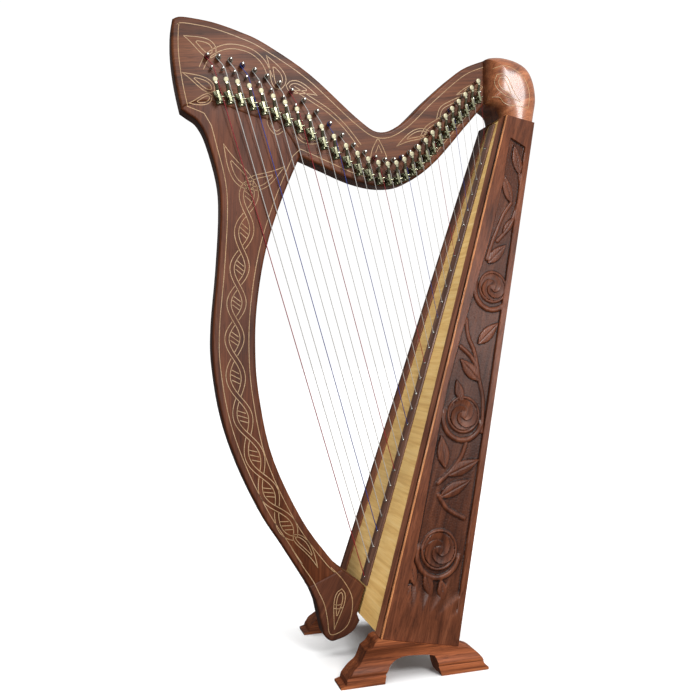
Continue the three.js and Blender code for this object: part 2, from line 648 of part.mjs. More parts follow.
// The bracket: a plate on the neck, a lug for the pivot stub and fret ridges behind the string.
function bracketGeometry({ radius, leverOut, down, length }, pivotOut) {
  const face = NECK_HALF - leverOut - PLATE_SUNK; // from the string's centre
  const rise = face + PLATE_SUNK; // where the lug and the ridges grow out of the plate
  const pattern = down > LONG_PLATE.needs ? LONG_PLATE : SHORT_PLATE;
  const plate = bar([LUG[0], PINS_END], [PLATE_LOW, pattern.top], [face, face + PLATE_THICK]);
  const lugTop = pivotOut + LUG_OVER;
  const lugShape = new THREE.Shape([
    [-LUG_HALF, rise], [LUG_HALF, rise], [LUG_HALF, lugTop], [-LUG_HALF, lugTop],
  ].map(([y, z]) => new THREE.Vector2(y, z)));
  const bearing = [[0, -PIVOT_HOLE], [-PIVOT_HOLE, 0], [0, PIVOT_HOLE], [PIVOT_HOLE, 0]];
  lugShape.holes.push(new THREE.Path(
    bearing.map(([y, z]) => new THREE.Vector2(y, pivotOut + z))));
  const lug = new THREE.ExtrudeGeometry(lugShape, {
    depth: LUG[1] - LUG[0], bevelEnabled: false,
  }).applyMatrix4(sideways).translate(LUG[0], 0, 0);
  const slope = STRING_OFFSET / length; // the string leans outward on its way up
  const ridge = (y) => bar([-3, PINS_END], [y - 1, y + 1],
    [rise, (y - 1) * slope - radius - CAM_PLAY]);
  return join(plate, lug, ...pattern.ridges.map(ridge));
}

// The wooden neck with everything that is driven or screwed into it for good.
const brackets = [];
strings.forEach((string, k) => {
  const { across, upward, lever, leverOut, radius } = string;
  const frame = basis([across.x, 0, across.y], [upward.x, 0, upward.y], [0, -1, 0]);
  const pivotOut = radius + CAM_PLAY + CAM_RADIUS + CAM_REACH;
  const bracketPlace = frame.clone().setPosition(spot(lever.x, leverOut, lever.y));
  brackets.push(bracketGeometry(string, pivotOut).applyMatrix4(bracketPlace));
  const mesh = add(`lever_handle_${String(k + 1).padStart(2, '0')}`, handle, brass());
  mesh.applyMatrix4(frame.clone().setPosition(spot(lever.x, leverOut + pivotOut, lever.y)));
});
add('neck', join(
  slab(neckShape, -NECK_HALF, NECK_HALF),
  ...strings.flatMap(tuningPin),
  ...strings.map(bridgePin),
  ...brackets), rosewood());

harp.position.x = MIDDLE_SHIFT;

export default harp;
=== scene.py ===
"""Looks of the lever harp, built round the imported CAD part.

Sizes are in millimetres in the instrument's own drawing frame; at() turns them into the row frame.
X runs from the pillar to the soundbox, Z is up, and -Y is the side that carries the levers.
"""

import math

import bmesh
import bpy
import numpy as np
from mathutils import Matrix, Vector


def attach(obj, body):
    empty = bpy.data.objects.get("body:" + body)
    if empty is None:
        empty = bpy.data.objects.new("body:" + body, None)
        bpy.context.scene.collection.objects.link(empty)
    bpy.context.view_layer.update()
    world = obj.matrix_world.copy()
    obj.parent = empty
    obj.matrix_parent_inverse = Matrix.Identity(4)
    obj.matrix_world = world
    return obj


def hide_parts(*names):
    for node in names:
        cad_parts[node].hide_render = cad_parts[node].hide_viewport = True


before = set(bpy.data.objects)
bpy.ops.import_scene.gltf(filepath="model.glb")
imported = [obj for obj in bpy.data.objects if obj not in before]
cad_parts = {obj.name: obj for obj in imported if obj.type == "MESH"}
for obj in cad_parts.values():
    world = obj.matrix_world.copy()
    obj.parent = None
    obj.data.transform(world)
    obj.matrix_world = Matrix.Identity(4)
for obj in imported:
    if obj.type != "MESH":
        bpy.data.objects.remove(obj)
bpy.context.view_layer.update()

# ------------------------------------------------------------------ sizes shared with the CAD part
MM = 0.001
SIDES = ((-1, "left"), (1, "right"))
MIDDLE_SHIFT = 2.307  # brings the middle of the overall length to X = 0
NECK_HALF = 18.5
PILLAR_HALF = 16.5
SHOULDER_HALF = 46
SHOULDER_LEFT = 207.3

# The soundbox: s runs up the soundboard from its foot, n stands out of it towards the strings.
BOARD_FOOT = (-16.9, 66.7)
BOARD_LEAN = math.radians(17.12)
BOARD_LENGTH = 851
BOX_DEPTH_LOW = 130.5
BOX_DEPTH_HIGH = 53.6
BOX_RISE_LOW = 10.3
BOX_RISE_HIGH = 8.5
BOX_HALF = 126
BOX_TAPER = 0.08896
BOX_FLARE = 0.054
TRIM_WIDTH = 27.5
RIB_START = 46
RIB_HALF_LOW = 16
RIB_HALF_HIGH = 10

# Strings and their hardware. The bass string is the first one.
STRINGS = 29
RIB_FIRST = (-0.4, 120.2)
RIB_LAST = (219.9, 835.2)
RIB_CROWDING = 0.05
LEAN_BASS = math.radians(17.02)
LEAN_TREBLE = math.radians(13.8)
RADIUS_BASS = 0.95
RADIUS_TREBLE = 0.35
STRING_SHARE = 0.8  # a string's own radius, as a share of the rod that stands in for it
STRING_OFFSET = 26.6
BRIDGE_TIP = 28.4
BRIDGE_RADIUS = 1.6
TUNING_RADIUS = 2.6
TUNING_TIP = 34
TUNING_SIDEWAYS = 9
TUNING_LIFT = 14.5
LIFT_HUMP = (5.5, 0.27, 0.14)  # height, place along the strings, width
LEVER_FRACTION = 0.056
LEVER_MIN = 9
GAP = 0.3
CAM_REACH = 3.3
CAM_RADIUS = 1.0
CAM_PLAY = 0.35
BRACKET_SUNK = 0.5  # how far a lever bracket is let into the neck

UP = (math.sin(BOARD_LEAN), math.cos(BOARD_LEAN))
OUT = (-math.cos(BOARD_LEAN), math.sin(BOARD_LEAN))

# Outlines of the boards, in X and Z.
JOINT_LINE = [
    (-110, 795), (-125.6, 822), (-145.6, 844.5), (-179.5, 849.5),
    (-216.7, 860), (-245.4, 867), (-270, 864), (-292, 853.5),
]
HEAD_EDGE = [(-292, 853.5), (-298, 880), (-303, 909), (-306, 939), (-306, 968), (-304, 986)]
NECK_TOP = [
    (-304, 986), (-293, 991), (-271, 991), (-241, 988), (-203, 979), (-165, 965.5), (-93, 925),
    (-14, 862), (23, 843.5), (61, 861), (109, 908), (165, 957), (207, 977.5),
]
NECK_BOTTOM = [
    (207, 901), (174, 863), (119, 801), (70, 765), (26, 756), (-20, 762.5), (-67, 779),
    (-110, 795),
]
PILLAR_INNER = [
    (-110, 794), (-139, 725), (-163, 650), (-177, 570), (-181, 500), (-176, 425),
    (-155, 326), (-109, 226), (-64, 162), (-44.8, 142.2),
]
PILLAR_OUTER = [
    (-99, 119.5), (-137, 181), (-171, 235), (-208, 313), (-233, 389), (-246, 470),
    (-246.5, 530), (-239, 613), (-234, 698), (-237, 750), (-253, 809), (-267, 836),
    (-281, 846), (-292, 853),
]
BLOCK_LEFT = [
    (-85, 89), (-81, 70), (-77, 53), (-73, 38), (-62, 27.5), (-48.7, 28.8), (-35.3, 33),
    (-21.8, 42), (-13.5, 55),
]
BLOCK_RIGHT = [(-9, 114), (-27, 128.5), (-44.4, 141.7)]
SHOULDER_TOP = [
    (207.3, 977), (217, 980.7), (238, 982.6), (265, 978), (285, 966.5), (297, 945),
    (301.5, 916), (297, 886), (290, 840),
]
SHOULDER_ARCH = [(233.6, 882), (229.9, 893.6), (219, 901.5), (207.3, 902.5)]


def at(x, y, z):
    return Vector(((x + MIDDLE_SHIFT) * MM, y * MM, z * MM))


def box_point(s, n, y):
    """A point s up the soundboard, n out of it and y across it."""
    return (
        BOARD_FOOT[0] + UP[0] * s + OUT[0] * n,
        y,
        BOARD_FOOT[1] + UP[1] * s + OUT[1] * n,
    )


def half_width(s, n):
    return BOX_HALF - BOX_TAPER * s + BOX_FLARE * n


def depth_at(s):
    share = (s - BOX_RISE_LOW) / (BOARD_LENGTH + BOX_RISE_HIGH - BOX_RISE_LOW)
    return BOX_DEPTH_LOW + share * (BOX_DEPTH_HIGH - BOX_DEPTH_LOW)


def low_end(n):
    return -n * BOX_RISE_LOW / BOX_DEPTH_LOW


def high_end(n):
    return BOARD_LENGTH - n * BOX_RISE_HIGH / BOX_DEPTH_HIGH


# ------------------------------------------------------------------ curves and outlines
def curve_point(points, u):
    """A point on a smooth curve through the given points; u runs from 0 to 1."""
    count = len(points)
    place = u * (count - 1)
    i = min(int(place), count - 2)
    t = place - i
    p0 = points[max(i - 1, 0)]
    p1 = points[i]
    p2 = points[i + 1]
    p3 = points[min(i + 2, count - 1)]
    result = []
    for a, b, c, d in zip(p0, p1, p2, p3):
        v0 = (c - a) / 2
        v1 = (d - b) / 2
        cubic = 2 * b - 2 * c + v0 + v1
        square = -3 * b + 3 * c - 2 * v0 - v1
        result.append(((cubic * t + square) * t + v0) * t + b)
    return tuple(result)


def spline(points, steps):
    return [curve_point(points, i / steps) for i in range(steps + 1)]


def outline(*stretches):
    """Joins stretches of points into one closed outline that runs anticlockwise."""
    points = []
    for stretch in stretches:
        for p in stretch:
            if not points or math.dist(p, points[-1]) > 0.5:
                points.append(p)
    if math.dist(points[0], points[-1]) < 0.5:
        points.pop()
    area = 0
    for a, b in zip(points, points[1:] + points[:1]):
        area += a[0] * b[1] - b[0] * a[1]
    return points if area > 0 else points[::-1]


def offset(points, distance, closed=True):
    """Moves a line of points to its left by distance."""
    moved = []
    count = len(points)
    for i, p in enumerate(points):
        before = points[i - 1] if closed or i > 0 else p
        after = points[(i + 1) % count] if closed or i < count - 1 else p
        arrive = Vector(p) - Vector(before)
        leave = Vector(after) - Vector(p)
        if arrive.length < 1e-9:
            arrive = leave
        if leave.length < 1e-9:
            leave = arrive
        along = (arrive.normalized() + leave.normalized()).normalized()
        stretch = max(0.6, abs(along.dot(leave.normalized())))
        moved.append((p[0] - along.y * distance / stretch, p[1] + along.x * distance / stretch))
    return moved


def distance_to_line(p, points):
    """Distance from p to a closed line of points."""
    best = 1e9
    x, y = p
    for (ax, ay), (bx, by) in zip(points, points[1:] + points[:1]):
        dx, dy = bx - ax, by - ay
        length = dx * dx + dy * dy
        t = ((x - ax) * dx + (y - ay) * dy) / length if length else 0.0
        t = min(1.0, max(0.0, t))
        best = min(best, math.hypot(x - ax - t * dx, y - ay - t * dy))
    return best


def inset(points, distance):
    """Shrinks a closed outline. Points that would cross over gather at the nearest good one."""
    if distance < 1e-6:
        return list(points)
    moved = offset(points, distance)
    good = [distance_to_line(p, points) > distance * 0.985 for p in moved]
    count = len(points)
    result = []
    for i, p in enumerate(moved):
        step = 0
        while not good[(i + step) % count] and not good[(i - step) % count]:
            step += 1
        result.append(moved[(i + step) % count] if good[(i + step) % count]
                      else moved[(i - step) % count])
    return result


def even(points, step):
    """The same line, with its points spaced evenly."""
    lengths = [math.dist(a, b) for a, b in zip(points, points[1:])]
    total = sum(lengths)
    count = max(2, round(total / step))
    result = []
    for k in range(count + 1):
        wanted = total * k / count
        i = 0
        while i < len(lengths) - 1 and wanted > lengths[i]:
            wanted -= lengths[i]
            i += 1
        share = min(1.0, wanted / max(lengths[i], 1e-9))
        a, b = points[i], points[i + 1]
        result.append((a[0] + (b[0] - a[0]) * share, a[1] + (b[1] - a[1]) * share))
    return result


# ------------------------------------------------------------------ meshes
def linked(name, data):
    """A new object in the scene."""
    obj = bpy.data.objects.new(name, data)
    bpy.context.scene.collection.objects.link(obj)
    return obj


def placed(name, mesh, body, material, sharp):
    """A mesh's object, riding a body. Edges sharper than the given angle stay sharp."""
    mesh.shade_smooth()
    mesh.set_sharp_from_angle(angle=math.radians(sharp))
    mesh.materials.append(material)
    obj = linked(name, mesh)
    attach(obj, body)
    return obj


def piece(name, verts, faces, body, material, sharp=35):
    """A piece from points in metres and faces."""
    mesh = bpy.data.meshes.new(name)
    mesh.from_pydata([tuple(v) for v in verts], [], faces)
    mesh.validate()
    return placed(name, mesh, body, material, sharp)


def sculpted(name, shape, body, material, sharp):
    """A piece from a bmesh, which is freed."""
    mesh = bpy.data.meshes.new(name)
    shape.to_mesh(mesh)
    shape.free()
    return placed(name, mesh, body, material, sharp)


def walls(shape, near, far):
    """Joins two rings of bmesh vertices with a band of faces."""
    for i in range(len(near)):
        j = (i + 1) % len(near)
        shape.faces.new((near[i], near[j], far[j], far[i]))


def everything(shape):
    return shape.verts[:] + shape.edges[:] + shape.faces[:]


def circle(centre, side, other, radius, sides):
    """Points round a centre in the plane of two directions; the radius is in millimetres."""
    ring = []
    for k in range(sides):
        angle = 2 * math.pi * k / sides
        ring.append(centre + (side * math.cos(angle) + other * math.sin(angle)) * radius * MM)
    return ring


def even_shading(obj):
    """Large flat faces keep flat shading beside their rounded edges."""
    modifier = obj.modifiers.new("even_shading", "WEIGHTED_NORMAL")
    modifier.keep_sharp = True
    modifier.weight = 90


class Builder:
    """Collects several closed bodies for one mesh."""

    def __init__(self):
        self.verts = []
        self.faces = []
        self.slots = []

    def rings(self, rings, slot=0):
        """A skin through rings of points that all have the same count, closed at both ends."""
        count = len(rings[0])
        verts = [p for ring in rings for p in ring]
        faces = []
        for r in range(len(rings) - 1):
            for i in range(count):
                a = r * count + i
                b = r * count + (i + 1) % count
                faces.append((a, b, b + count, a + count))
        faces.append(tuple(reversed(range(count))))
        faces.append(tuple(range(len(verts) - count, len(verts))))
        base = len(self.verts)
        self.verts.extend(verts)
        self.faces.extend(tuple(base + i for i in face) for face in faces)
        self.slots.extend([slot] * len(faces))

    def lathe(self, start, axis, profile, sides, slot=0):
        """Turns a profile of (distance along the axis, radius) about an axis, in millimetres."""
        axis = Vector(axis).normalized()
        across = axis.orthogonal().normalized()
        other = axis.cross(across)
        rings = [
            circle(start + axis * distance * MM, across, other, radius, sides)
            for distance, radius in profile
        ]
        self.rings(rings, slot=slot)

    def tube(self, path, radius, sides, slot=0):
        """A round tube along a path of points, in metres; radius is in millimetres."""
        rings = []
        side = None
        for i, p in enumerate(path):
            arrive = path[i] - path[i - 1] if i > 0 else path[1] - path[0]
            leave = path[i + 1] - path[i] if i < len(path) - 1 else arrive
            along = (arrive.normalized() + leave.normalized()).normalized()
            side = along.orthogonal() if side is None else side - along * side.dot(along)
            side.normalize()
            rings.append(circle(p, side, along.cross(side), radius, sides))
        self.rings(rings, slot=slot)

    def make(self, name, body, slot, materials, sharp=35):
        obj = piece(name, self.verts, self.faces, body, materials[0], sharp)
        for material in materials[1:]:
            obj.data.materials.append(material)
        obj.data.polygons.foreach_set("material_index", self.slots)
        return obj


EDGE_STEPS = 5  # steps of a board's rounded edge


def rounded_layers(points, half, across, along, steps):
    """Layers of a board from -half to half in Y, its edges rounded over.

    The rounding goes across deep in Y and along wide in from the outline.
    """
    rings = []
    for side in (-1, 1):
        angles = [math.pi / 2 * k / steps for k in range(steps + 1)]
        for angle in (angles[::-1] if side < 0 else angles):
            y = side * (half - across + across * math.sin(angle))
            edge = inset(points, along * (1 - math.cos(angle)))
            rings.append([at(x, y, z) for x, z in edge])
    return rings


def rounded_plate(name, node, points, half, rounding, material):
    """A wooden board that stands for a CAD node."""
    builder = Builder()
    builder.rings(rounded_layers(points, half, rounding, rounding, EDGE_STEPS))
    obj = builder.make(name, "frame", "rosewood", [material])
    even_shading(obj)
    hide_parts(node)


# ------------------------------------------------------------------ materials
def linear(r, g, b):
    """An 8-bit display colour as the linear colour that shaders take."""
    result = []
    for value in (r, g, b):
        c = value / 255
        result.append(c / 12.92 if c <= 0.04045 else ((c + 0.055) / 1.055) ** 2.4)
    return (*result, 1.0)


MIX_COLOR = 2  # which output of a Mix node holds the colour


class Shader:
    """A material's node tree, with short ways to add and link nodes."""

    def __init__(self, name):
        self.material = bpy.data.materials.new(name)
        self.material.use_nodes = True
        self.tree = self.material.node_tree
        self.tree.nodes.clear()
        self.output = self.tree.nodes.new("ShaderNodeOutputMaterial")
        self.bsdf = self.tree.nodes.new("ShaderNodeBsdfPrincipled")
        self.link(self.bsdf, "BSDF", self.output, "Surface")

    def link(self, source, out, target, into):
        self.tree.links.new(source.outputs[out], target.inputs[into])

    def coordinates(self, turn=(0, 0, 0)):
        source = self.tree.nodes.new("ShaderNodeTexCoord")
        mapping = self.tree.nodes.new("ShaderNodeMapping")
        mapping.vector_type = "POINT"
        mapping.inputs["Rotation"].default_value = turn
        self.link(source, "Object", mapping, "Vector")
        return mapping

    def stretched(self, mapping, scale):
        node = self.tree.nodes.new("ShaderNodeMapping")
        node.inputs["Scale"].default_value = scale
        self.link(mapping, "Vector", node, "Vector")
        return node

    def multiply(self, share, color, ramp):
        """Darkens a colour by a ramp's colour."""
        return self.mix("MULTIPLY", share, color, (ramp, "Color"))

    def noise(self, mapping, scale, detail=4, roughness=0.55, distortion=0.0):
        node = self.tree.nodes.new("ShaderNodeTexNoise")
        node.inputs["Scale"].default_value = scale
        node.inputs["Detail"].default_value = detail
        node.inputs["Roughness"].default_value = roughness
        node.inputs["Distortion"].default_value = distortion
        self.link(mapping, "Vector", node, "Vector")
        return node

    def ramp(self, source, out, stops):
        node = self.tree.nodes.new("ShaderNodeValToRGB")
        elements = node.color_ramp.elements
        while len(elements) < len(stops):
            elements.new(0.5)
        for element, (position, color) in zip(elements, stops):
            element.position = position
            element.color = color
        self.link(source, out, node, "Fac")
        return node

    def mix(self, mode, factor, first, second):
        """first and second are (node, output) pairs or colours; factor is a number or a pair."""
        node = self.tree.nodes.new("ShaderNodeMix")
        node.data_type = "RGBA"
        node.blend_type = mode
        sockets = {s.identifier: s for s in node.inputs}
        for value, name in (
            (factor, "Factor_Float"),
            (first, "A_Color"),
            (second, "B_Color"),
        ):
            if isinstance(value, tuple) and len(value) == 2:
                self.tree.links.new(value[0].outputs[value[1]], sockets[name])
            else:
                sockets[name].default_value = value
        return node, MIX_COLOR

    def color(self, source, out):
        self.link(source, out, self.bsdf, "Base Color")

    def roughness(self, source, out, low, high, start, end):
        """Roughness from low to high, as the source goes from start to end."""
        node = self.tree.nodes.new("ShaderNodeMapRange")
        values = {"From Min": start, "From Max": end, "To Min": low, "To Max": high}
        for name, value in values.items():
            node.inputs[name].default_value = value
        self.link(source, out, node, "Value")
        self.link(node, "Result", self.bsdf, "Roughness")

    def bump(self, source, out, strength, distance, below=None):
        node = self.tree.nodes.new("ShaderNodeBump")
        node.inputs["Strength"].default_value = strength
        node.inputs["Distance"].default_value = distance
        self.link(source, out, node, "Height")
        if below is not None:
            self.link(below, "Normal", node, "Normal")
        self.link(node, "Normal", self.bsdf, "Normal")
        return node

    def set(self, **values):
        for name, value in values.items():
            self.bsdf.inputs[name.replace("_", " ")].default_value = value


BLACK = (0, 0, 0, 1)
WHITE = (1, 1, 1, 1)


def wood(name, dark, middle, light, grain_turn, gloss=(0.42, 0.56), pores=0.5, coat=0.03,
         figure=1.0, streaky=0.55, shade_recesses=False):
    """Lacquered wood. The grain runs along X after the turn, given as angles about X, Y and Z.

    The three tones of the growth rings are display colours.
    The carving can be darkened in its hollows and deep ground: painted shade.
    """
    shader = Shader(name)
    base = shader.coordinates(turn=grain_turn)
    growth_space = shader.stretched(base, (1.2, 14, 14))
    growth = shader.noise(growth_space, 3.2 * figure, detail=5, roughness=0.6, distortion=1.2)
    tone = shader.ramp(
        growth, "Fac", [(0.30, linear(*dark)), (0.52, linear(*middle)), (0.74, linear(*light))])
    streak_space = shader.stretched(base, (4, 160, 160))
    streaks = shader.noise(streak_space, 3.0, detail=3, roughness=0.5)
    streak_tone = shader.ramp(
        streaks, "Fac", [(0.36, (0.45, 0.40, 0.38, 1)), (0.56, WHITE)])
    color = shader.multiply(streaky, (tone, "Color"), streak_tone)
    pore_space = shader.stretched(base, (26, 520, 520))
    pore = shader.noise(pore_space, 2.0, detail=2, roughness=0.5)
    pore_mask = shader.ramp(pore, "Fac", [(0.30, BLACK), (0.40, WHITE)])
    color = shader.multiply(pores, color, pore_mask)
    patches = shader.noise(base, 5.0, detail=2)
    patch_tone = shader.ramp(
        patches, "Fac", [(0.35, (0.80, 0.78, 0.76, 1)), (0.68, (1.14, 1.10, 1.06, 1))])
    color = shader.multiply(0.8, color, patch_tone)
    if shade_recesses:
        # Painted shade in the carving's hollows and deep ground, read from the panel's point
        # attribute.
        depth = shader.tree.nodes.new("ShaderNodeAttribute")
        depth.attribute_name = "recess_shade"
        recess_darkening = shader.ramp(depth, "Fac", [(0, WHITE), (1, (0.10, 0.07, 0.06, 1))])
        color = shader.multiply(1.0, color, recess_darkening)
    shader.color(*color)
    smudge = shader.noise(base, 9.0, detail=3)
    shader.roughness(smudge, "Fac", *gloss, 0.35, 0.65)
    first = shader.bump(streaks, "Fac", 0.10, 0.0006)
    shader.bump(pore_mask, "Color", 0.16, 0.0003, below=first)
    shader.set(Coat_Weight=coat, Coat_Roughness=0.22, IOR=1.48, Specular_IOR_Level=0.32)
    return shader.material


def metal(name, color, tint, rough):
    """Polished metal with faint polishing lines and tarnish."""
    shader = Shader(name)
    base = shader.coordinates()
    tarnish = shader.noise(base, 90, detail=3)
    tone = shader.ramp(tarnish, "Fac", [(0.35, linear(*tint)), (0.62, linear(*color))])
    shader.color(tone, "Color")
    lines_space = shader.stretched(base, (1, 1, 0.12))
    lines = shader.noise(lines_space, 2400, detail=2)
    shader.roughness(lines, "Fac", *rough, 0.3, 0.7)
    shader.bump(lines, "Fac", 0.2, 0.00005)
    shader.set(Metallic=1.0)
    return shader.material


def gut(name, color, deep, clear=0.0):
    """Nylon or gut string: slightly clear, with faint twist."""
    shader = Shader(name)
    base = shader.coordinates()
    twist = shader.noise(base, 900, detail=2)
    tone = shader.ramp(twist, "Fac", [(0.35, linear(*deep)), (0.65, linear(*color))])
    shader.color(tone, "Color")
    shader.roughness(twist, "Fac", 0.25, 0.45, 0.3, 0.7)
    shader.bump(twist, "Fac", 0.2, 0.00005)
    shader.set(Alpha=1 - clear)
    return shader.material


ALONG_X = (0, 0, 0)
ALONG_Y = (0, 0, math.pi / 2)
ALONG_Z = (0, math.pi / 2, 0)
ALONG_BOARD = (0, math.pi / 2 - BOARD_LEAN, 0)

ROSE_DARK = (72, 40, 24)
ROSE_MIDDLE = (120, 68, 40)
ROSE_LIGHT = (152, 94, 58)

neck_wood = wood("neck_wood", ROSE_DARK, ROSE_MIDDLE, ROSE_LIGHT, (0, math.radians(8), 0))
pillar_wood = wood(
    "pillar_wood", (78, 40, 23), (118, 64, 38), (146, 86, 55), ALONG_Z)
block_wood = wood(
    "block_wood", (70, 36, 22), (104, 58, 38), (132, 80, 54),
    (0, math.radians(60), 0))
shoulder_wood = wood(
    "shoulder_wood", (92, 50, 30), (146, 88, 56), (178, 118, 80),
    (0, math.radians(25), 0), gloss=(0.34, 0.42), coat=0.45)
# Its carving is darkened in the hollows and on the deep ground: painted shade.
side_wood = wood(
    "side_wood", (80, 42, 26), (118, 66, 42), (146, 88, 60),
    ALONG_BOARD, gloss=(0.28, 0.38), shade_recesses=True)
trim_wood = wood(
    "trim_wood", (84, 46, 32), (128, 78, 54), (150, 98, 70),
    ALONG_BOARD)
board_wood = wood(
    "board_wood", (206, 164, 98), (230, 192, 122), (242, 210, 146),
    ALONG_Y, gloss=(0.34, 0.46), pores=0.08, figure=2.0, streaky=0.14)
back_wood = wood("back_wood", ROSE_DARK, ROSE_MIDDLE, ROSE_LIGHT, ALONG_BOARD)
string_rib_wood = wood(
    "rib_wood", (72, 46, 34), (112, 78, 62), (144, 108, 90), ALONG_BOARD,
    gloss=(0.35, 0.5))
pale_wood = wood(
    "pale_wood", (170, 134, 92), (196, 160, 116), (214, 182, 140),
    ALONG_BOARD, gloss=(0.55, 0.7), pores=0.25, coat=0.0)
foot_wood = wood(
    "foot_wood", (112, 58, 32), (174, 98, 58), (212, 130, 82), ALONG_X,
    gloss=(0.5, 0.62), coat=0.0, streaky=0.8)
# Pale wood for the trims' outer corner: a painted highlight along the rounded arris.
arris_highlight_wood = wood(
    "arris_highlight_wood", (150, 92, 52), (196, 132, 84), (230, 180, 132), ALONG_BOARD,
    gloss=(0.3, 0.4), pores=0.2)
inlay_wood = wood(
    "inlay_wood", (196, 156, 112), (222, 186, 142), (236, 206, 168),
    ALONG_X, gloss=(0.3, 0.4), pores=0.1)
steel = metal("steel", (214, 212, 204), (170, 168, 160), (0.16, 0.32))
lever_metal = metal("lever_metal", (180, 176, 150), (120, 120, 94), (0.2, 0.36))
bracket_metal = metal(
    "bracket_metal", (122, 122, 98), (70, 73, 55), (0.32, 0.5))
handle_metal = metal(
    "handle_metal", (196, 194, 164), (140, 142, 112), (0.18, 0.3))
knob_metal = metal("knob_metal", (172, 166, 140), (126, 122, 98), (0.42, 0.55))
natural_string = gut(
    "natural_string", (232, 230, 226), (206, 202, 196), clear=0.25)
red_string = gut("red_string", (190, 56, 66), (150, 36, 46), clear=0.2)
blue_string = gut("blue_string", (70, 88, 180), (48, 62, 144), clear=0.2)
# Darker copies of the string colours for the windings on the tuning pins: painted shade.
winding_shade_natural = gut("winding_shade_natural", (150, 140, 124), (96, 86, 74))
winding_shade_red = gut("winding_shade_red", (120, 34, 36), (78, 20, 24))
winding_shade_blue = gut("winding_shade_blue", (40, 48, 108), (26, 30, 70))


# ------------------------------------------------------------------ neck, pillar and blocks
EXTRA = 4  # how far neighbouring boards run into each other, so that no gap shows at the seam
joint_curve = spline(JOINT_LINE, 24)
neck_outline = outline(
    joint_curve,
    spline(HEAD_EDGE, 14),
    spline(NECK_TOP, 64),
    [(SHOULDER_LEFT + EXTRA, 979.5), (SHOULDER_LEFT + EXTRA, 904.5)],
    spline(NECK_BOTTOM, 40))
rounded_plate("neck_board", "neck", neck_outline, NECK_HALF, 4.5, neck_wood)

pillar_outline = outline(
    spline(PILLAR_INNER, 40),
    [(-43.8, 139.4), (-98, 116.7)],
    spline(PILLAR_OUTER, 56),
    [(x + 2, z + 7) for x, z in reversed(joint_curve[1:])])
rounded_plate("pillar_board", "pillar", pillar_outline, PILLAR_HALF, 4.0, pillar_wood)

block_face = [box_point(s, GAP, 0) for s in (2, 44)]
block_outline = outline(
    [(-98.7, 119.1), (-93, 108.5)],
    spline(BLOCK_LEFT, 32),
    [(-17.6, 66.2)],
    [(x, z) for x, _, z in block_face],
    spline(BLOCK_RIGHT, 10))
rounded_plate(
    "foot_block_board", "pillar_foot_block", block_outline, PILLAR_HALF - 0.1, 4.0, block_wood)


SHOULDER_ROUND = (25, 33)  # how deep the rounding goes, and how far in from the edge it starts
SHOULDER_STEPS = 14
shoulder_points = outline(
    spline(SHOULDER_TOP, 44),
    [(286, 800), (234, 800), (234, 870)],
    spline(SHOULDER_ARCH, 12))


def shoulder_face(x, z):
    """How far the pillow's face is from the middle plane."""
    deep, wide = SHOULDER_ROUND
    reach = min(distance_to_line((x, z), shoulder_points), wide)
    cosine = 1 - reach / wide
    return SHOULDER_HALF - deep + deep * math.sqrt(1 - cosine * cosine)


def shoulder_block():
    """A pillow: both faces are rounded far over, and the lower end is cut flat on the box."""
    shape = bmesh.new()
    layers = rounded_layers(shoulder_points, SHOULDER_HALF, *SHOULDER_ROUND, SHOULDER_STEPS)
    rings = [[shape.verts.new(p) for p in layer] for layer in layers]
    for near, far in zip(rings, rings[1:]):
        walls(shape, near, far)
    shape.faces.new(rings[0][::-1])
    shape.faces.new(rings[-1])
    bmesh.ops.remove_doubles(shape, verts=shape.verts, dist=1e-6)
    low = at(*box_point(high_end(0) + GAP, 0, 0))
    back = at(*box_point(high_end(-50) + GAP, -50, 0))
    normal = Vector((0, 1, 0)).cross(back - low).normalized()
    normal = normal if normal.z > 0 else -normal
    cut = bmesh.ops.bisect_plane(
        shape, geom=everything(shape), plane_co=low, plane_no=normal, clear_inner=True)
    rim = [e for e in cut["geom_cut"] if isinstance(e, bmesh.types.BMEdge)]
    bmesh.ops.contextual_create(shape, geom=rim)
    bmesh.ops.recalc_face_normals(shape, faces=shape.faces)
    obj = sculpted("shoulder_pillow", shape, "frame", shoulder_wood, 40)
    even_shading(obj)
    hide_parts("shoulder_block")


shoulder_block()


# ------------------------------------------------------------------ inlaid lines
INLAY_WIDTH = 1.05
INLAY_PROUD = 0.12
INLAY_DEPTH = 0.4
LEAF_STEPS = 12  # points along each side of a leaf
BAND_STEPS = 30


NECK_FROM = (-112, 700)  # right of and above this point the wood is always the neck's


def joint_height(x):
    """Height of the joint between pillar and head."""
    for a, b in zip(joint_curve, joint_curve[1:]):
        if min(a[0], b[0]) <= x <= max(a[0], b[0]):
            share = (x - a[0]) / (b[0] - a[0])
            return a[1] + (b[1] - a[1]) * share
    return 0


def face_half(x, z):
    """How far the wood's face is from the middle plane at a point of the neck or pillar."""
    beyond = x > NECK_FROM[0] and z > NECK_FROM[1]
    return NECK_HALF if beyond or z > joint_height(x) else PILLAR_HALF


def ribbon(builder, points, half_at, closed=False):
    """A thin strip of pale wood let into both faces of a board, a hair proud of them."""
    if closed:
        points = points + [points[0]]
    left = offset(points, INLAY_WIDTH / 2, closed=False)
    right = offset(points, -INLAY_WIDTH / 2, closed=False)
    for side in (-1, 1):
        rings = []
        for a, b in zip(left, right):
            half = half_at((a[0] + b[0]) / 2, (a[1] + b[1]) / 2)
            inner = side * (half - INLAY_DEPTH)
            outer = side * (half + INLAY_PROUD)
            rings.append([
                at(a[0], inner, a[1]), at(a[0], outer, a[1]),
                at(b[0], outer, b[1]), at(b[0], inner, b[1]),
            ])
        builder.rings(rings)


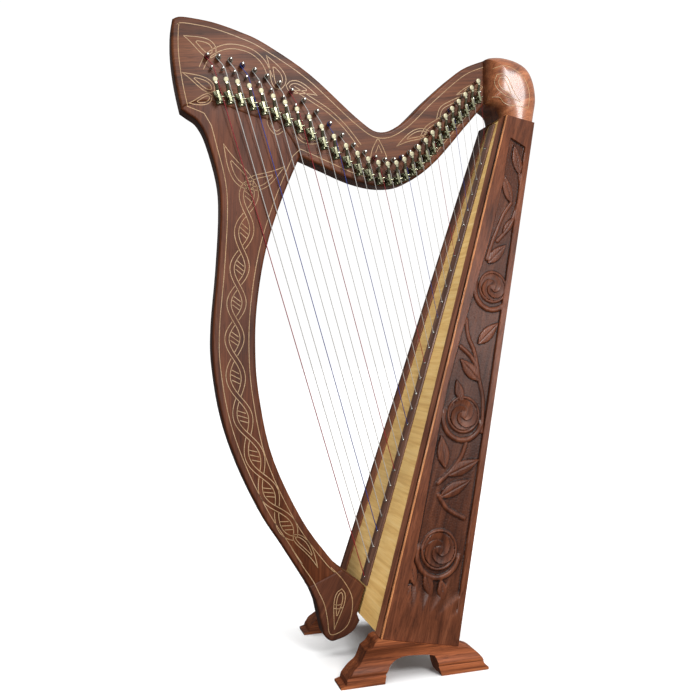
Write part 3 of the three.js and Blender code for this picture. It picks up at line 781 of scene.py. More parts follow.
def leaf_outline(base, tip, width, bend):
    """A pointed leaf from base to tip, widest near its base; bend swings its middle sideways."""
    axis = Vector(tip) - Vector(base)
    normal = Vector((-axis.y, axis.x)).normalized()
    sides = []
    for side in (1, -1):
        edge = []
        for k in range(LEAF_STEPS + 1):
            t = k / LEAF_STEPS
            bulge = math.sin(math.pi * t ** 0.62) * (1.06 - 0.4 * t) * width / 2 * side
            swing = math.sin(math.pi * t) * bend
            p = Vector(base) + axis * t + normal * (bulge + swing)
            edge.append((p.x, p.y))
        sides.append(edge)
    return sides[0] + sides[1][::-1][1:-1]


LEAF_BAND = 0.22  # width of a leaf's border band, as a share of the leaf's width


def inlay_leaf(builder, half_at, base, tip, width, bend):
    """A leaf drawn with a double line."""
    edge = outline(leaf_outline(base, tip, width, bend))
    ribbon(builder, edge, half_at, closed=True)
    inner = []
    for p in inset(edge, width * LEAF_BAND):
        if not inner or math.dist(p, inner[-1]) > 0.8:
            inner.append(p)
    ribbon(builder, inner, half_at, closed=True)


def band(builder, half_at, points, width):
    """A curved band drawn with a line along each edge."""
    middle = spline(points, BAND_STEPS)
    for side in (-1, 1):
        ribbon(builder, offset(middle, side * width / 2, closed=False), half_at)


BORDER = 10.5  # from the boards' edges to the border line
# Each leaf: base, tip, width and bend.
HEAD_LEAVES = [
    ((-240, 938), (-288, 962), 27, -3),
    ((-242, 884), (-290, 907), 20, -2),
    ((-246, 876), (-281, 862), 15, 2),
    ((-140, 896), (-163, 946), 26, -4),
    ((-132, 903), (-82, 892), 21, 3),
    ((110, 850), (51, 822), 18, -5),
    ((206, 933), (157, 915), 13, -3),
]
# Each band: points along it, and its width.
HEAD_BANDS = [
    ([(-262, 916), (-250, 938), (-222, 953), (-190, 951), (-168, 936), (-156, 912)], 7),
    ([(-120, 900), (-90, 884), (-62, 868), (-36, 846), (-12, 818)], 6),
    ([(-160, 862), (-158, 841), (-148, 829), (-138, 834)], 5),
    ([(-119, 834), (-106, 820), (-88, 818), (-70, 826)], 5),
    ([(94, 838), (104, 856), (124, 870), (150, 888)], 5),
    ([(124, 872), (130, 890), (146, 901), (166, 911)], 5),
]


def neck_inlay():
    builder = Builder()
    upper = spline(HEAD_EDGE, 20) + spline(NECK_TOP, 90)[1:]
    outer = [p for p in reversed(spline(PILLAR_OUTER, 70)) if p[1] > 150]
    left_side = [p for p in outer if p[1] < 800]
    corner = [(-258, 850), (-247, 832)]
    ribbon(builder, offset(upper, -BORDER, closed=False)[1:], face_half)
    start = offset(upper, -BORDER, closed=False)[1]
    down = offset(left_side, BORDER, closed=False)
    ribbon(builder, even([start, (-283, 858)] + corner + down[:1], 3), face_half)
    ribbon(builder, down, face_half)
    lower = spline(NECK_BOTTOM, 60)[:-1] + spline(PILLAR_INNER, 70)[1:-3]
    ribbon(builder, offset(lower, -BORDER, closed=False), face_half)
    for base, tip, width, bend in HEAD_LEAVES:
        inlay_leaf(builder, face_half, base, tip, width, bend)
    for points, width in HEAD_BANDS:
        band(builder, face_half, points, width)
    apex = (19, 833)
    ribbon(builder, spline([(6, 800), (10, 816), apex], 8), face_half)
    ribbon(builder, spline([apex, (28, 817), (34, 803)], 8), face_half)
    ribbon(builder, [(15, 809), (20, 822), (26, 809)], face_half)
    builder.make("neck_and_pillar_border", "frame", "rosewood", [inlay_wood])


# Places where the two bands cross; between two of them the bands open into an eye.
BRAID_CROSSINGS = [
    (-188, 752), (-194, 703), (-202, 646), (-208, 591), (-212, 537), (-214, 482), (-208, 420),
    (-193, 360), (-173, 299), (-149, 245), (-121, 197),
]
BRAID_EYES = len(BRAID_CROSSINGS) - 1
BRAID_SWING = 11.5
BRAID_BAND = 6.5
BRAID_STEPS = 32  # points along each eye


def uncovered(edge, other, strand):
    """The stretches of a band's edge where the other band doesn't lie over it."""
    runs = [[]]
    for i, p in enumerate(edge):
        under = round(i / BRAID_STEPS) % 2 == strand
        near = other[max(0, i - 10):i + 11]
        if under and min(math.dist(p, q) for q in near) < BRAID_BAND / 2 + 0.2:
            runs.append([])
        else:
            runs[-1].append(p)
    return [run for run in runs if len(run) > 2]


def braid_inlay():
    """Two bands that weave down the pillar, with three rungs in each eye between crossings."""
    builder = Builder()
    line = spline(BRAID_CROSSINGS, BRAID_EYES * BRAID_STEPS)
    swings = []
    for sign in (-1, 1):
        path = []
        for i, (p, normal) in enumerate(zip(line, offset(line, 1.0, closed=False))):
            across = Vector(normal) - Vector(p)
            phase = math.sin(math.pi * i / BRAID_STEPS)
            q = Vector(p) + across * phase * BRAID_SWING * sign
            path.append((q.x, q.y))
        swings.append(path)
    for strand, path in enumerate(swings):
        for side in (-1, 1):
            edge = offset(path, side * BRAID_BAND / 2, closed=False)
            for run in uncovered(edge, swings[1 - strand], strand):
                ribbon(builder, run, face_half)
    for eye in range(BRAID_EYES):
        for share in (0.38, 0.5, 0.62):
            i = round((eye + share) * BRAID_STEPS)
            reach = BRAID_SWING * abs(math.sin(math.pi * share)) - BRAID_BAND / 2 - 0.4
            middle = Vector(line[i])
            along = (Vector(line[i + 1]) - Vector(line[i - 1])).normalized()
            slant = (Vector((-along.y, along.x)) * 0.84 + along * 0.54).normalized()
            a = middle - slant * reach
            b = middle + slant * reach
            ribbon(builder, [tuple(a), tuple(middle), tuple(b)], face_half)
    inlay_leaf(builder, face_half, (-186, 740), (-229, 806), 27, 5)
    inlay_leaf(builder, face_half, (-196, 744), (-134, 778), 25, -5)
    inlay_leaf(builder, face_half, (-123, 203), (-84, 148), 17, 5)
    builder.make("pillar_braid", "frame", "rosewood", [inlay_wood])


def block_half(x, z):
    """The foot block is as thick as the pillar all over."""
    return PILLAR_HALF


def foot_block_inlay():
    builder = Builder()
    loop = [
        (-126, 182), (-108, 152), (-92, 128), (-83, 110), (-73, 88), (-68, 64), (-64, 40),
        (-48, 41), (-34, 52), (-27, 74), (-28, 98), (-42, 124), (-62, 146),
    ]
    ribbon(builder, spline(loop, 60), block_half)
    inlay_leaf(builder, block_half, (-44, 110), (-57, 46), 19, 0)
    for z in (80, 86):
        ribbon(builder, [(-57, z), (-50, z - 1.5), (-43, z)], block_half)
    builder.make("foot_block_border", "frame", "rosewood", [inlay_wood])


def shoulder_inlay():
    builder = Builder()
    border = [(215, 958), (237, 963), (262, 952), (276, 934), (280, 914), (277, 896)]
    foot = [(277, 896), (262, 897), (243, 899)]
    arch = [(243, 899), (234, 904), (226, 911), (214, 911)]
    for points in (border, foot, arch):
        ribbon(builder, spline(points, 20), shoulder_face)
    inlay_leaf(builder, shoulder_face, (221, 948), (262, 905), 26, -5)
    builder.make("shoulder_border", "frame", "rosewood", [inlay_wood])


neck_inlay()
braid_inlay()
foot_block_inlay()
shoulder_inlay()


# ------------------------------------------------------------------ strings, pins and levers
BRIDGE_LINE = [
    (-262, 917), (-244.7, 918.6), (-212, 915.5), (-157.9, 894.5), (-100, 862.5), (-36, 814),
    (3.5, 790.5), (38.8, 781.9), (68.5, 790.6), (105.3, 821), (151, 873), (198.9, 922.4),
    (215, 939),
]


def bridge_crossing(start, lean):
    """Where a line from start, leaning towards the pillar, crosses the line of bridge pins."""
    low, high = 0.0, 1.0
    for _ in range(40):
        middle = (low + high) / 2
        p = curve_point(BRIDGE_LINE, middle)
        side = (p[0] - start[0]) * math.cos(lean) + (p[1] - start[1]) * math.sin(lean)
        if side < 0:
            low = middle
        else:
            high = middle
    return curve_point(BRIDGE_LINE, low)


class StringPlan:
    """Places of one string and its hardware, in the drawing frame."""

    def __init__(self, k):
        self.k = k
        even_share = k / (STRINGS - 1)
        t = even_share - RIB_CROWDING * even_share * (1 - even_share)
        self.radius = RADIUS_BASS + (RADIUS_TREBLE - RADIUS_BASS) * even_share
        self.lean = LEAN_BASS + (LEAN_TREBLE - LEAN_BASS) * even_share
        self.rib = tuple(a + (b - a) * t for a, b in zip(RIB_FIRST, RIB_LAST))
        self.bridge = bridge_crossing(self.rib, self.lean)
        self.length = math.dist(self.bridge, self.rib)
        self.across = Vector((math.cos(self.lean), math.sin(self.lean)))
        self.upward = Vector((-math.sin(self.lean), math.cos(self.lean)))
        height, place, width = LIFT_HUMP
        lift = TUNING_LIFT + height * math.exp(-(((even_share - place) / width) ** 2))
        self.tuning = (self.bridge[0] - TUNING_SIDEWAYS, self.bridge[1] + lift)
        wind = Vector(self.tuning) - self.across * (TUNING_RADIUS + self.radius + GAP)
        self.wind_up = tuple(wind)
        above = (wind - Vector(self.bridge)).normalized()
        bend = math.acos(min(1.0, above.dot(self.upward)))
        reach = (BRIDGE_RADIUS + self.radius + GAP) / math.cos(bend / 2)
        middle = (above + self.upward).normalized()
        self.pin = tuple(Vector(self.bridge) + Vector((-middle.y, middle.x)) * reach)
        self.down = max(LEVER_MIN, LEVER_FRACTION * self.length)
        self.lever = tuple(Vector(self.bridge) - self.upward * self.down)
        self.lever_out = STRING_OFFSET * (1 - self.down / self.length)
        self.pivot_out = self.radius + CAM_PLAY + CAM_RADIUS + CAM_REACH

    def lever_frame(self, out):
        """Axes across the string, up the string and away from the neck, at a distance out."""
        x = Vector((self.across.x, 0, self.across.y))
        y = Vector((self.upward.x, 0, self.upward.y))
        z = Vector((0, -1, 0))
        matrix = Matrix((x, y, z)).transposed().to_4x4()
        matrix.translation = at(self.lever[0], -out, self.lever[1])
        return matrix


plans = [StringPlan(k) for k in range(STRINGS)]


WINDINGS = 2.6  # turns of a string round its tuning pin
WINDING_PITCH = 2.1  # from one turn to the next, as a share of the string's radius
WINDING_STEPS = 34
STRING_MATERIALS = [natural_string, red_string, blue_string, winding_shade_natural, winding_shade_red, winding_shade_blue]


def string_color(k):
    """Red for each C and blue for each F, as places in STRING_MATERIALS."""
    return {0: 1, 3: 2}.get(k % 7, 0)


def strings():
    """Strings from the rib over the bridge pins, each wound on its tuning pin."""
    builder = Builder()
    for plan in plans:
        color = string_color(plan.k)
        foot = at(plan.rib[0], 0, plan.rib[1])
        bridge = at(plan.bridge[0], -STRING_OFFSET, plan.bridge[1])
        top = at(plan.wind_up[0], -STRING_OFFSET, plan.wind_up[1])
        path = [foot + (foot - bridge).normalized() * 2 * MM, foot]
        path += [foot.lerp(bridge, share) for share in (0.25, 0.5, 0.75)]
        path += [bridge.lerp(foot, 0.004), bridge.lerp(top, 0.1), top]
        builder.tube(path, plan.radius * STRING_SHARE, 8, color)
        path = [top]
        centre = at(plan.tuning[0], -STRING_OFFSET, plan.tuning[1])
        reach = (TUNING_RADIUS + plan.radius + 0.05) * MM
        start = math.pi + plan.lean
        for i in range(1, WINDING_STEPS + 1):
            share = i / WINDING_STEPS
            angle = start - 2 * math.pi * WINDINGS * share
            sink = share * WINDINGS * WINDING_PITCH * plan.radius * MM
            spoke = Vector((math.cos(angle), 0, math.sin(angle)))
            path.append(centre + spoke * reach + Vector((0, sink, 0)))
        # The windings take the darker copies of the string colours: painted shade.
        builder.tube(path, plan.radius * STRING_SHARE, 8, color + 3)
    builder.make("string_set", "frame", "string_rib_wood", STRING_MATERIALS, sharp=60)


def tuning_pins():
    """Steel pins with a domed tip towards the strings and a squared end for the key."""
    builder = Builder()
    for plan in plans:
        tip = at(plan.tuning[0], -TUNING_TIP, plan.tuning[1])
        builder.lathe(tip, (0, 1, 0), [
            (0.0, 0.9), (0.25, 1.7), (0.8, 2.4), (1.6, TUNING_RADIUS), (5.2, TUNING_RADIUS),
            (5.4, 2.35), (9.4, 2.35), (9.6, TUNING_RADIUS), (18, TUNING_RADIUS)], 14)
        far = at(plan.tuning[0], NECK_HALF - 2, plan.tuning[1])
        builder.lathe(far, (0, 1, 0), [(0, 3.0), (6, 3.0), (6.6, 2.7)], 14)
        builder.lathe(far + Vector((0, 6 * MM, 0)), (0, 1, 0), [(0, 3.0), (10, 2.7), (10.9, 2.0)], 4)
    builder.make("tuning_pins", "frame", "steel", [steel])


def bridge_pins():
    """Grooved pins that set the strings' upper ends, each with a small collar."""
    builder = Builder()
    for plan in plans:
        tip = at(plan.pin[0], -BRIDGE_TIP - 0.6, plan.pin[1])
        builder.lathe(tip, (0, 1, 0), [
            (0.0, 0.8), (0.2, 1.6), (0.6, 2.1), (1.1, 2.1), (1.4, BRIDGE_RADIUS),
            (3.4, BRIDGE_RADIUS - 0.15), (5, BRIDGE_RADIUS), (8.6, BRIDGE_RADIUS),
            (9, 2.3), (12, 2.3)], 12)
    builder.make("bridge_pins", "frame", "steel", [steel])


def bar(builder, matrix, x_range, y_range, z_range, bevel):
    """A block with chamfered edges, in a lever's frame, in millimetres."""
    x0, x1 = x_range
    y0, y1 = y_range
    z0, z1 = z_range
    rings = []
    for z, cut in ((z0, bevel), (z0 + bevel, 0), (z1 - bevel, 0), (z1, bevel)):
        corners = (
            (x0 + cut, y0 + cut), (x1 - cut, y0 + cut), (x1 - cut, y1 - cut), (x0 + cut, y1 - cut))
        rings.append([matrix @ (Vector((x, y, z)) * MM) for x, y in corners])
    builder.rings(rings)


def plate_on_edge(builder, matrix, points, x_range, bevel=0.3, slot=0):
    """A plate drawn in y and z, with chamfered edges, between two values of x."""
    rings = []
    x0, x1 = x_range
    for x, cut in ((x0, bevel), (x0 + bevel, 0), (x1 - bevel, 0), (x1, bevel)):
        ring = offset(outline(points), cut)
        rings.append([matrix @ (Vector((x, y, z)) * MM) for y, z in ring])
    builder.rings(rings, slot=slot)


def round_end(centre, radius, start, end, steps):
    """Points of an arc, for the rounded end of a lug or plate."""
    points = []
    for k in range(steps + 1):
        angle = math.radians(start + (end - start) * k / steps)
        points.append((centre[0] + radius * math.cos(angle), centre[1] + radius * math.sin(angle)))
    return points


# Across the string, from a lever bracket's pivot: its lug, and the handle's cheek beside it.
LUG = (-10.8, -8.7)
CHEEK = (-8.4, -4.1)
LONG_LEVER = 20  # brackets this far below the bridge pin are long and have two frets


def lever_brackets():
    """Plates screwed to the neck, each with a lug for the pivot and frets behind the string."""
    builder = Builder()
    for plan in plans:
        matrix = plan.lever_frame(plan.lever_out)
        face = NECK_HALF - plan.lever_out - BRACKET_SUNK
        long_plate = plan.down > LONG_LEVER
        top = 12 if long_plate else 5.5
        bar(builder, matrix, (LUG[0], 2.2), (-8, top), (face, face + 2.5), 0.5)
        pivot = plan.pivot_out
        lug = [(-3.2, face + 1), (3.2, face + 1)]
        lug += round_end((0, pivot), 2.6, -8, 188, 10)
        plate_on_edge(builder, matrix, lug, LUG)
        slope = STRING_OFFSET / plan.length
        for y in ((-5, 9) if long_plate else (-5,)):
            crest = (y - 1) * slope - plan.radius - CAM_PLAY
            ridge = [(y - 1.2, face + 1), (y + 1.2, face + 1)]
            ridge += round_end((y, crest - 1), 1.0, 0, 180, 6)
            plate_on_edge(builder, matrix, ridge, (-3, 2.2), bevel=0.2, slot=1)
        for y in ((-6.2, top - 2.4) if long_plate else (-6.2,)):
            head = matrix @ (Vector((-5.6, y, face + 2.3)) * MM)
            out = matrix.to_3x3() @ Vector((0, 0, 1))
            builder.lathe(head, out, [(0, 1.7), (0.5, 1.7), (1.0, 1.2), (1.1, 0.4)], 12, slot=1)
    builder.make("lever_brackets", "frame", "lever_metal", [bracket_metal, lever_metal])


def handle_mesh():
    """One lever handle at its pivot: a cranked cheek, a disc knob, the cam and the pivot."""
    builder = Builder()
    here = Matrix.Identity(4)
    crank = [
        (-6.4, -2), (-4.5, -2), (-3.5, -4.3), (3.5, -4.3), (4.5, -2), (11, -2), (15, 1.6),
        (19, 6.2), (22, 6.4), (24, 6.5), (24, 8.6), (17.8, 8.6), (13, 5.2), (9, 2), (-6.4, 2),
    ]
    plate_on_edge(builder, here, crank, CHEEK, bevel=0.5)
    middle = (CHEEK[0] + CHEEK[1]) / 2
    knob = Vector((middle, 24, 6.3)) * MM
    builder.lathe(knob, (0, 0, 1), [
        (0, 3.4), (0.3, 4.0), (0.8, 4.3), (1.7, 4.3), (2.2, 4.0), (2.5, 3.3), (2.45, 2.0),
        (2.5, 0.5)], 22, slot=1)
    cam = Vector((CHEEK[1] - 1, 0, -CAM_REACH)) * MM
    builder.lathe(cam, (1, 0, 0), [(0, CAM_RADIUS), (7.1, CAM_RADIUS), (7.3, 0.7)], 12)
    pivot = Vector((LUG[0] - 0.5, 0, 0)) * MM
    builder.lathe(pivot, (1, 0, 0), [(0, 0.9), (0.3, 1.3), (0.6, 1.1), (3.5, 1.1)], 12, slot=1)
    return builder


def lever_handles():
    """The handles share one mesh, and each rides its own body."""
    first = handle_mesh().make(
        "lever_01_handle", "lever_01", "lever_metal", [handle_metal, knob_metal])
    for plan in plans:
        number = f"{plan.k + 1:02d}"
        obj = first if plan.k == 0 else linked(f"lever_{number}_handle", first.data)
        obj.matrix_world = plan.lever_frame(plan.lever_out + plan.pivot_out)
        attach(obj, f"lever_{number}")
        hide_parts(f"lever_handle_{number}")


strings()
tuning_pins()
bridge_pins()
lever_brackets()
lever_handles()


# ------------------------------------------------------------------ soundbox
STRIP_STEPS = 60  # stations along a strip


def box_strip(name, s_ends, n_range, y_at, material, slot, crown=0.0, bevel=1.2):
    """A strip along the soundboard, with softened long edges.

    s_ends holds two functions of n, one for each end. y_at gives both edges at s and n.
    """
    n_low, n_high = n_range
    # The section's points: share of the way across, then a shift across, then n.
    section = [
        (0, 0, n_low), (0, 0, n_high - bevel), (0, bevel, n_high), (0.5, 0, n_high + crown),
        (1, -bevel, n_high), (1, 0, n_high - bevel), (1, 0, n_low),
    ]
    rings = []
    for i in range(STRIP_STEPS + 1):
        ring = []
        for across, shift, n in section:
            start, end = s_ends[0](n), s_ends[1](n)
            s = start + (end - start) * i / STRIP_STEPS
            a, b = y_at(s, n)
            ring.append(at(*box_point(s, n, a + (b - a) * across + shift)))
        rings.append(ring)
    builder = Builder()
    builder.rings(rings)
    return builder.make(name, "frame", slot, [material])


def rib_half(s):
    return RIB_HALF_LOW + (RIB_HALF_HIGH - RIB_HALF_LOW) * s / BOARD_LENGTH


def string_rib():
    """The strip that the strings pull on, with a steel eyelet under each string."""
    rib = box_strip(
        "string_rib", (lambda n: RIB_START, lambda n: BOARD_LENGTH - 4), (-2.7, -0.2),
        lambda s, n: (-rib_half(s), rib_half(s)), string_rib_wood, "string_rib_wood", crown=0.4)
    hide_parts("string_rib_and_strings")
    builder = Builder()
    outward = Vector((OUT[0], 0, OUT[1]))
    for plan in plans:
        seat = at(plan.rib[0] - OUT[0] * 0.2, 0, plan.rib[1] - OUT[1] * 0.2)
        builder.lathe(seat, outward, [
            (0, 3.0), (0.5, 2.9), (0.9, 2.5), (1.0, 2.0), (0.8, 1.6), (0.2, 1.4)], 16)
    builder.make("string_eyelets", "frame", "steel", [steel])


# Section of the arris: outwards from the soundboard's edge, and n.
ARRIS_SECTION = [(-1.6, 0.12), (-0.3, 0.18), (0.3, -0.5), (0.3, -2.2), (-1.6, -2.0)]


def trim_strip(side, name):
    """A side strip over the soundboard, with a pale arris at the outer corner: a painted highlight.
    """
    def widths(s, n):
        edges = (side * half_width(s, n), side * (half_width(s, n) - TRIM_WIDTH))
        return min(edges), max(edges)

    strip = box_strip(
        f"trim_strip_{name}", (low_end, high_end), (-2.8, 0.0), widths, trim_wood,
        "rosewood", bevel=0.8)
    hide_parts(f"soundboard_trim_{name}")
    rings = []
    for i in range(STRIP_STEPS + 1):
        s = BOARD_LENGTH * i / STRIP_STEPS
        edge = half_width(s, 0)
        rings.append([at(*box_point(s, n, side * (edge + out))) for out, n in ARRIS_SECTION])
    builder = Builder()
    builder.rings(rings)
    builder.make(f"trim_arris_{name}", "frame", "rosewood", [arris_highlight_wood])


# Carving on the side panels: places are (s, n) on the panel, with n counted inwards as positive.
CARVED_LEAVES = [
    ((763, 50), (808, 27), 17), ((711, 47), (752, 21), 17), ((600, 30), (640, 55), 18),
    ((468, 46), (512, 74), 19), ((412, 64), (436, 22), 20), ((265, 40), (312, 20), 20),
    ((255, 46), (292, 95), 20), ((220, 42), (258, 88), 20), ((75, 66), (106, 47), 16),
    ((72, 88), (102, 76), 15), ((84, 34), (124, 16), 15), ((52, 20), (84, 28), 16),
    ((372, 42), (402, 24), 15), ((655, 45), (690, 58), 12),
]
CARVED_ROSES = [(565, 49, 24), (353, 50, 27), (143, 62, 29)]
CARVED_STEMS = [
    [(763, 50), (735, 59), (700, 58), (668, 52), (641, 38)],
    [(711, 47), (688, 38), (664, 34), (640, 30), (606, 27)],
    [(500, 16), (474, 27), (452, 45), (412, 64), (390, 76), (360, 84), (335, 88)],
    [(455, 18), (446, 38), (432, 54)],
    [(310, 66), (286, 62), (262, 50), (240, 34)],
    [(222, 40), (206, 60), (198, 92)],
]
RECESS_DEPTH = 3.4
RECESS_LOW = 60
RECESS_HIGH = 820
RECESS_WALL = 1.6  # width of the slope from the panel's plane down to the carved ground
FAN_CENTRE = (8, 62)  # the gouges that fade out at the bottom spread from here
FAN_CUTS = 20
PANEL_PROUD = 0.12
PANEL_DEPTH = 7.5  # from the panel's plane to its inner face
PANEL_ROWS = 760
PANEL_COLUMNS = 100


def smooth_step(low, high, value):
    t = np.clip((value - low) / (high - low), 0, 1)
    return t * t * (3 - 2 * t)


def recess_left(s):
    """Where the carved ground begins beside the trim; it wanders like a hand-cut edge."""
    return 17 + 6 * np.sin(s / 96.0 + 0.6) * smooth_step(RECESS_HIGH, RECESS_HIGH - 90, s)


def leaf_height(s, n, base, tip, width):
    """A domed leaf with a vein cut down the middle."""
    base, tip = np.array(base, float), np.array(tip, float)
    axis = tip - base
    length = np.hypot(*axis)
    axis = axis / length
    along = (s - base[0]) * axis[0] + (n - base[1]) * axis[1]
    side = -(s - base[0]) * axis[1] + (n - base[1]) * axis[0]
    t = np.clip(along / length, 0, 1)
    half = width / 2 * np.sin(np.pi * t ** 0.85) + 0.4
    beyond = np.maximum(along - length, 0) + np.maximum(-along, 0)
    away = np.abs(side) / half + beyond
    dome = np.sqrt(np.clip(1 - away * away, 0, 1))
    vein = np.exp(-((side / 1.1) ** 2)) * 0.55
    ribs = 0.22 * np.sin(along * 1.3 - np.abs(side) * 1.5)
    return np.where(away < 1, 1.3 + dome * (1.9 + ribs) - vein * 2.2, 0)


def rose_height(s, n, centre_s, centre_n, radius):
    """A rose of spiral petals inside a raised ring, over a crescent."""
    x = s - centre_s
    y = n - centre_n
    r = np.hypot(x, y)
    angle = np.arctan2(y, x)
    wave = np.mod(angle * 3 / (2 * np.pi) + r / radius * 2.3, 1.0)
    petals = 1.0 + 1.9 * wave ** 1.6
    bloom = np.where(r < radius * 0.9, petals, 0)
    bloom = np.where(r < radius * 0.2, 2.6 - 0.1 * r * r / radius, bloom)
    ring = 2.3 * np.exp(-(((r - radius) / 2.0) ** 4))
    outer_x = x + 6
    outer_r = np.hypot(outer_x, y)
    crescent = 3.1 * np.sqrt(np.clip(1 - ((outer_r - radius - 7) / 4.2) ** 2, 0, 1))
    crescent = crescent * smooth_step(4, -8, x)
    return np.maximum(np.maximum(bloom, ring), crescent)


def stem_height(s, n, points):
    """A rounded ridge along a smooth line."""
    line = np.array(spline(points, 24))
    distance = np.full(s.shape, 1e9)
    for start, end in zip(line, line[1:]):
        step = end - start
        share = ((s - start[0]) * step[0] + (n - start[1]) * step[1]) / step.dot(step)
        share = np.clip(share, 0, 1)
        away = np.hypot(s - start[0] - share * step[0], n - start[1] - share * step[1])
        distance = np.minimum(distance, away)
    return 2.4 * np.sqrt(np.clip(1 - (distance / 3.4) ** 2, 0, 1))


def carving(s, n, depth):
    """Height of the carved face over the panel's plane; never above it."""
    edge_right = depth - 10
    inside = smooth_step(0, RECESS_WALL, n - recess_left(s))
    inside = inside * smooth_step(0, RECESS_WALL, edge_right - n)
    inside = inside * smooth_step(0, RECESS_WALL, RECESS_HIGH - 0.15 * n - s)
    fan = np.arctan2(n - FAN_CENTRE[1], s - FAN_CENTRE[0])
    gouges = np.abs(np.sin(fan * FAN_CUTS / 2))
    inside = inside * smooth_step(RECESS_LOW, RECESS_LOW + 44, s + 26 * gouges - 8)
    relief = np.zeros(s.shape)
    for base, tip, width in CARVED_LEAVES:
        relief = np.maximum(relief, leaf_height(s, n, base, tip, width))
    for centre_s, centre_n, radius in CARVED_ROSES:
        relief = np.maximum(relief, rose_height(s, n, centre_s, centre_n, radius))
    for points in CARVED_STEMS:
        relief = np.maximum(relief, stem_height(s, n, points))
    stipple = 0.32 * np.sin(s * 2.1 + 3 * np.sin(n * 0.7)) * np.sin(n * 2.3 + 2 * np.sin(s * 0.6))
    ground = -RECESS_DEPTH + np.where(relief < 0.3, stipple, 0)
    return np.minimum(inside * (ground + np.minimum(relief, RECESS_DEPTH + 0.1)), 0.05)


def blurred(field, reach):
    """The mean of a field over a square of neighbours."""
    result = np.zeros(field.shape)
    padded = np.pad(field, reach, mode="edge")
    rows, columns = field.shape
    for i in range(2 * reach + 1):
        for j in range(2 * reach + 1):
            result += padded[i:i + rows, j:j + columns]
    return result / (2 * reach + 1) ** 2


def panel_faces(side):
    """The faces of the carved grid, of the four walls round it and of the inner side."""
    index = np.arange(PANEL_ROWS * PANEL_COLUMNS).reshape(PANEL_ROWS, PANEL_COLUMNS)
    corners = (index[:-1, :-1], index[:-1, 1:], index[1:, 1:], index[1:, :-1])
    quads = np.stack([c.ravel() for c in corners], axis=1).tolist()
    inner = range(index.size, index.size + 4)
    edges = (index[0], index[:, -1], index[-1, ::-1], index[::-1, 0])
    rest = [edge.tolist() + [inner[(c + 1) % 4], inner[c]] for c, edge in enumerate(edges)]
    rest.append(list(inner))
    if side < 0:
        return quads + [face[::-1] for face in rest]
    return [face[::-1] for face in quads] + rest


def side_panel(side, name):
    """A side of the soundbox whose outer face is carved in relief."""
    shares = np.meshgrid(
        np.linspace(0, 1, PANEL_ROWS), np.linspace(0, 1, PANEL_COLUMNS), indexing="ij")
    depth = depth_at(shares[0] * BOARD_LENGTH)
    n = -shares[1] * depth
    s = low_end(n) + (high_end(n) - low_end(n)) * shares[0]
    height = carving(s, -n, depth)
    y = side * (half_width(s, n) + height + PANEL_PROUD)
    verts = [
        at(*box_point(*place)) for place in zip(*(v.ravel().tolist() for v in (s, n, y)))
    ]
    for corner in ((0, 0), (0, -1), (-1, -1), (-1, 0)):
        place = float(s[corner]), float(n[corner])
        verts.append(at(*box_point(*place, side * (half_width(*place) - PANEL_DEPTH))))
    obj = piece(
        f"carved_side_{name}", verts, panel_faces(side), "frame", side_wood, sharp=50)
    # Painted shade: darker in the carving's hollows and on its deep ground, kept as a point
    # attribute.
    hollow = np.clip((blurred(height, 3) - height) / 1.3, 0, 1)
    ground = np.clip(-height / RECESS_DEPTH, 0, 1)
    recess_shade = np.clip(0.75 * hollow + 0.45 * ground ** 2, 0, 1).ravel()
    layer = obj.data.attributes.new("recess_shade", "FLOAT", "POINT")
    layer.data.foreach_set("value", np.concatenate([recess_shade, np.zeros(4)]).astype(np.float32))
    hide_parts(f"side_panel_{name}")


string_rib()
for side, name in SIDES:
    trim_strip(side, name)
for side, name in SIDES:
    side_panel(side, name)


# ------------------------------------------------------------------ feet
FOOT_INNER = 93
FOOT_OUTER = 128
FOOT_TOP = 66.2
FOOT_SLOPE = 0.224
# Profile of the moulding on a foot's outer face: (height, how far the face is set back).
FOOT_MOULDING = [
    (0, 0.0), (11, 0.0), (12, 1.6), (14, 2.0), (15.5, 0.6), (18, 0.0), (20.5, 0.4), (22, 1.8),
    (24, 3.4), (29, 5.0), (34, 5.6), (40, 5.4), (46, 4.2), (50, 2.6), (52, 1.0), (54, 0.6),
    (60, 0.4), (67, 0.4),
]
FOOT_SLICES = {4, 8, 26, 32, 37, 43, 57, 63}  # further heights, which keep the moulding smooth


def foot_setback(z):
    heights = [p[0] for p in FOOT_MOULDING]
    return float(np.interp(z, heights, [p[1] for p in FOOT_MOULDING]))


def foot_top(x):
    """The soundbox's sloping underside, which the foot carries."""
    return FOOT_TOP - (x - BOARD_FOOT[0]) * FOOT_SLOPE


def foot_outline():
    return outline(
        [(-79, 0), (-79, 3), (-71, 5), (-69, 12)],
        spline([(-65, 17), (-57, 25), (-48, 31.6), (-43.5, 40)], 12),
        [(-39.4, 50.4)],
        spline([(-35, 53), (-29, 57.5), (-25, 64), (-19, 66.1)], 8),
        [(x, foot_top(x)) for x in (BOARD_FOOT[0], 110.6)],
        spline([(116, 37.6), (131, 33.6), (141, 27), (149, 17), (151, 7)], 14),
        [(158, 4), (158, 0), (80, 0)],
        spline(
            [(76, 11), (72.6, 25.4), (66, 31.5), (40, 34.5), (18, 34.6), (2, 28), (-8, 16),
             (-11, 0)], 24))


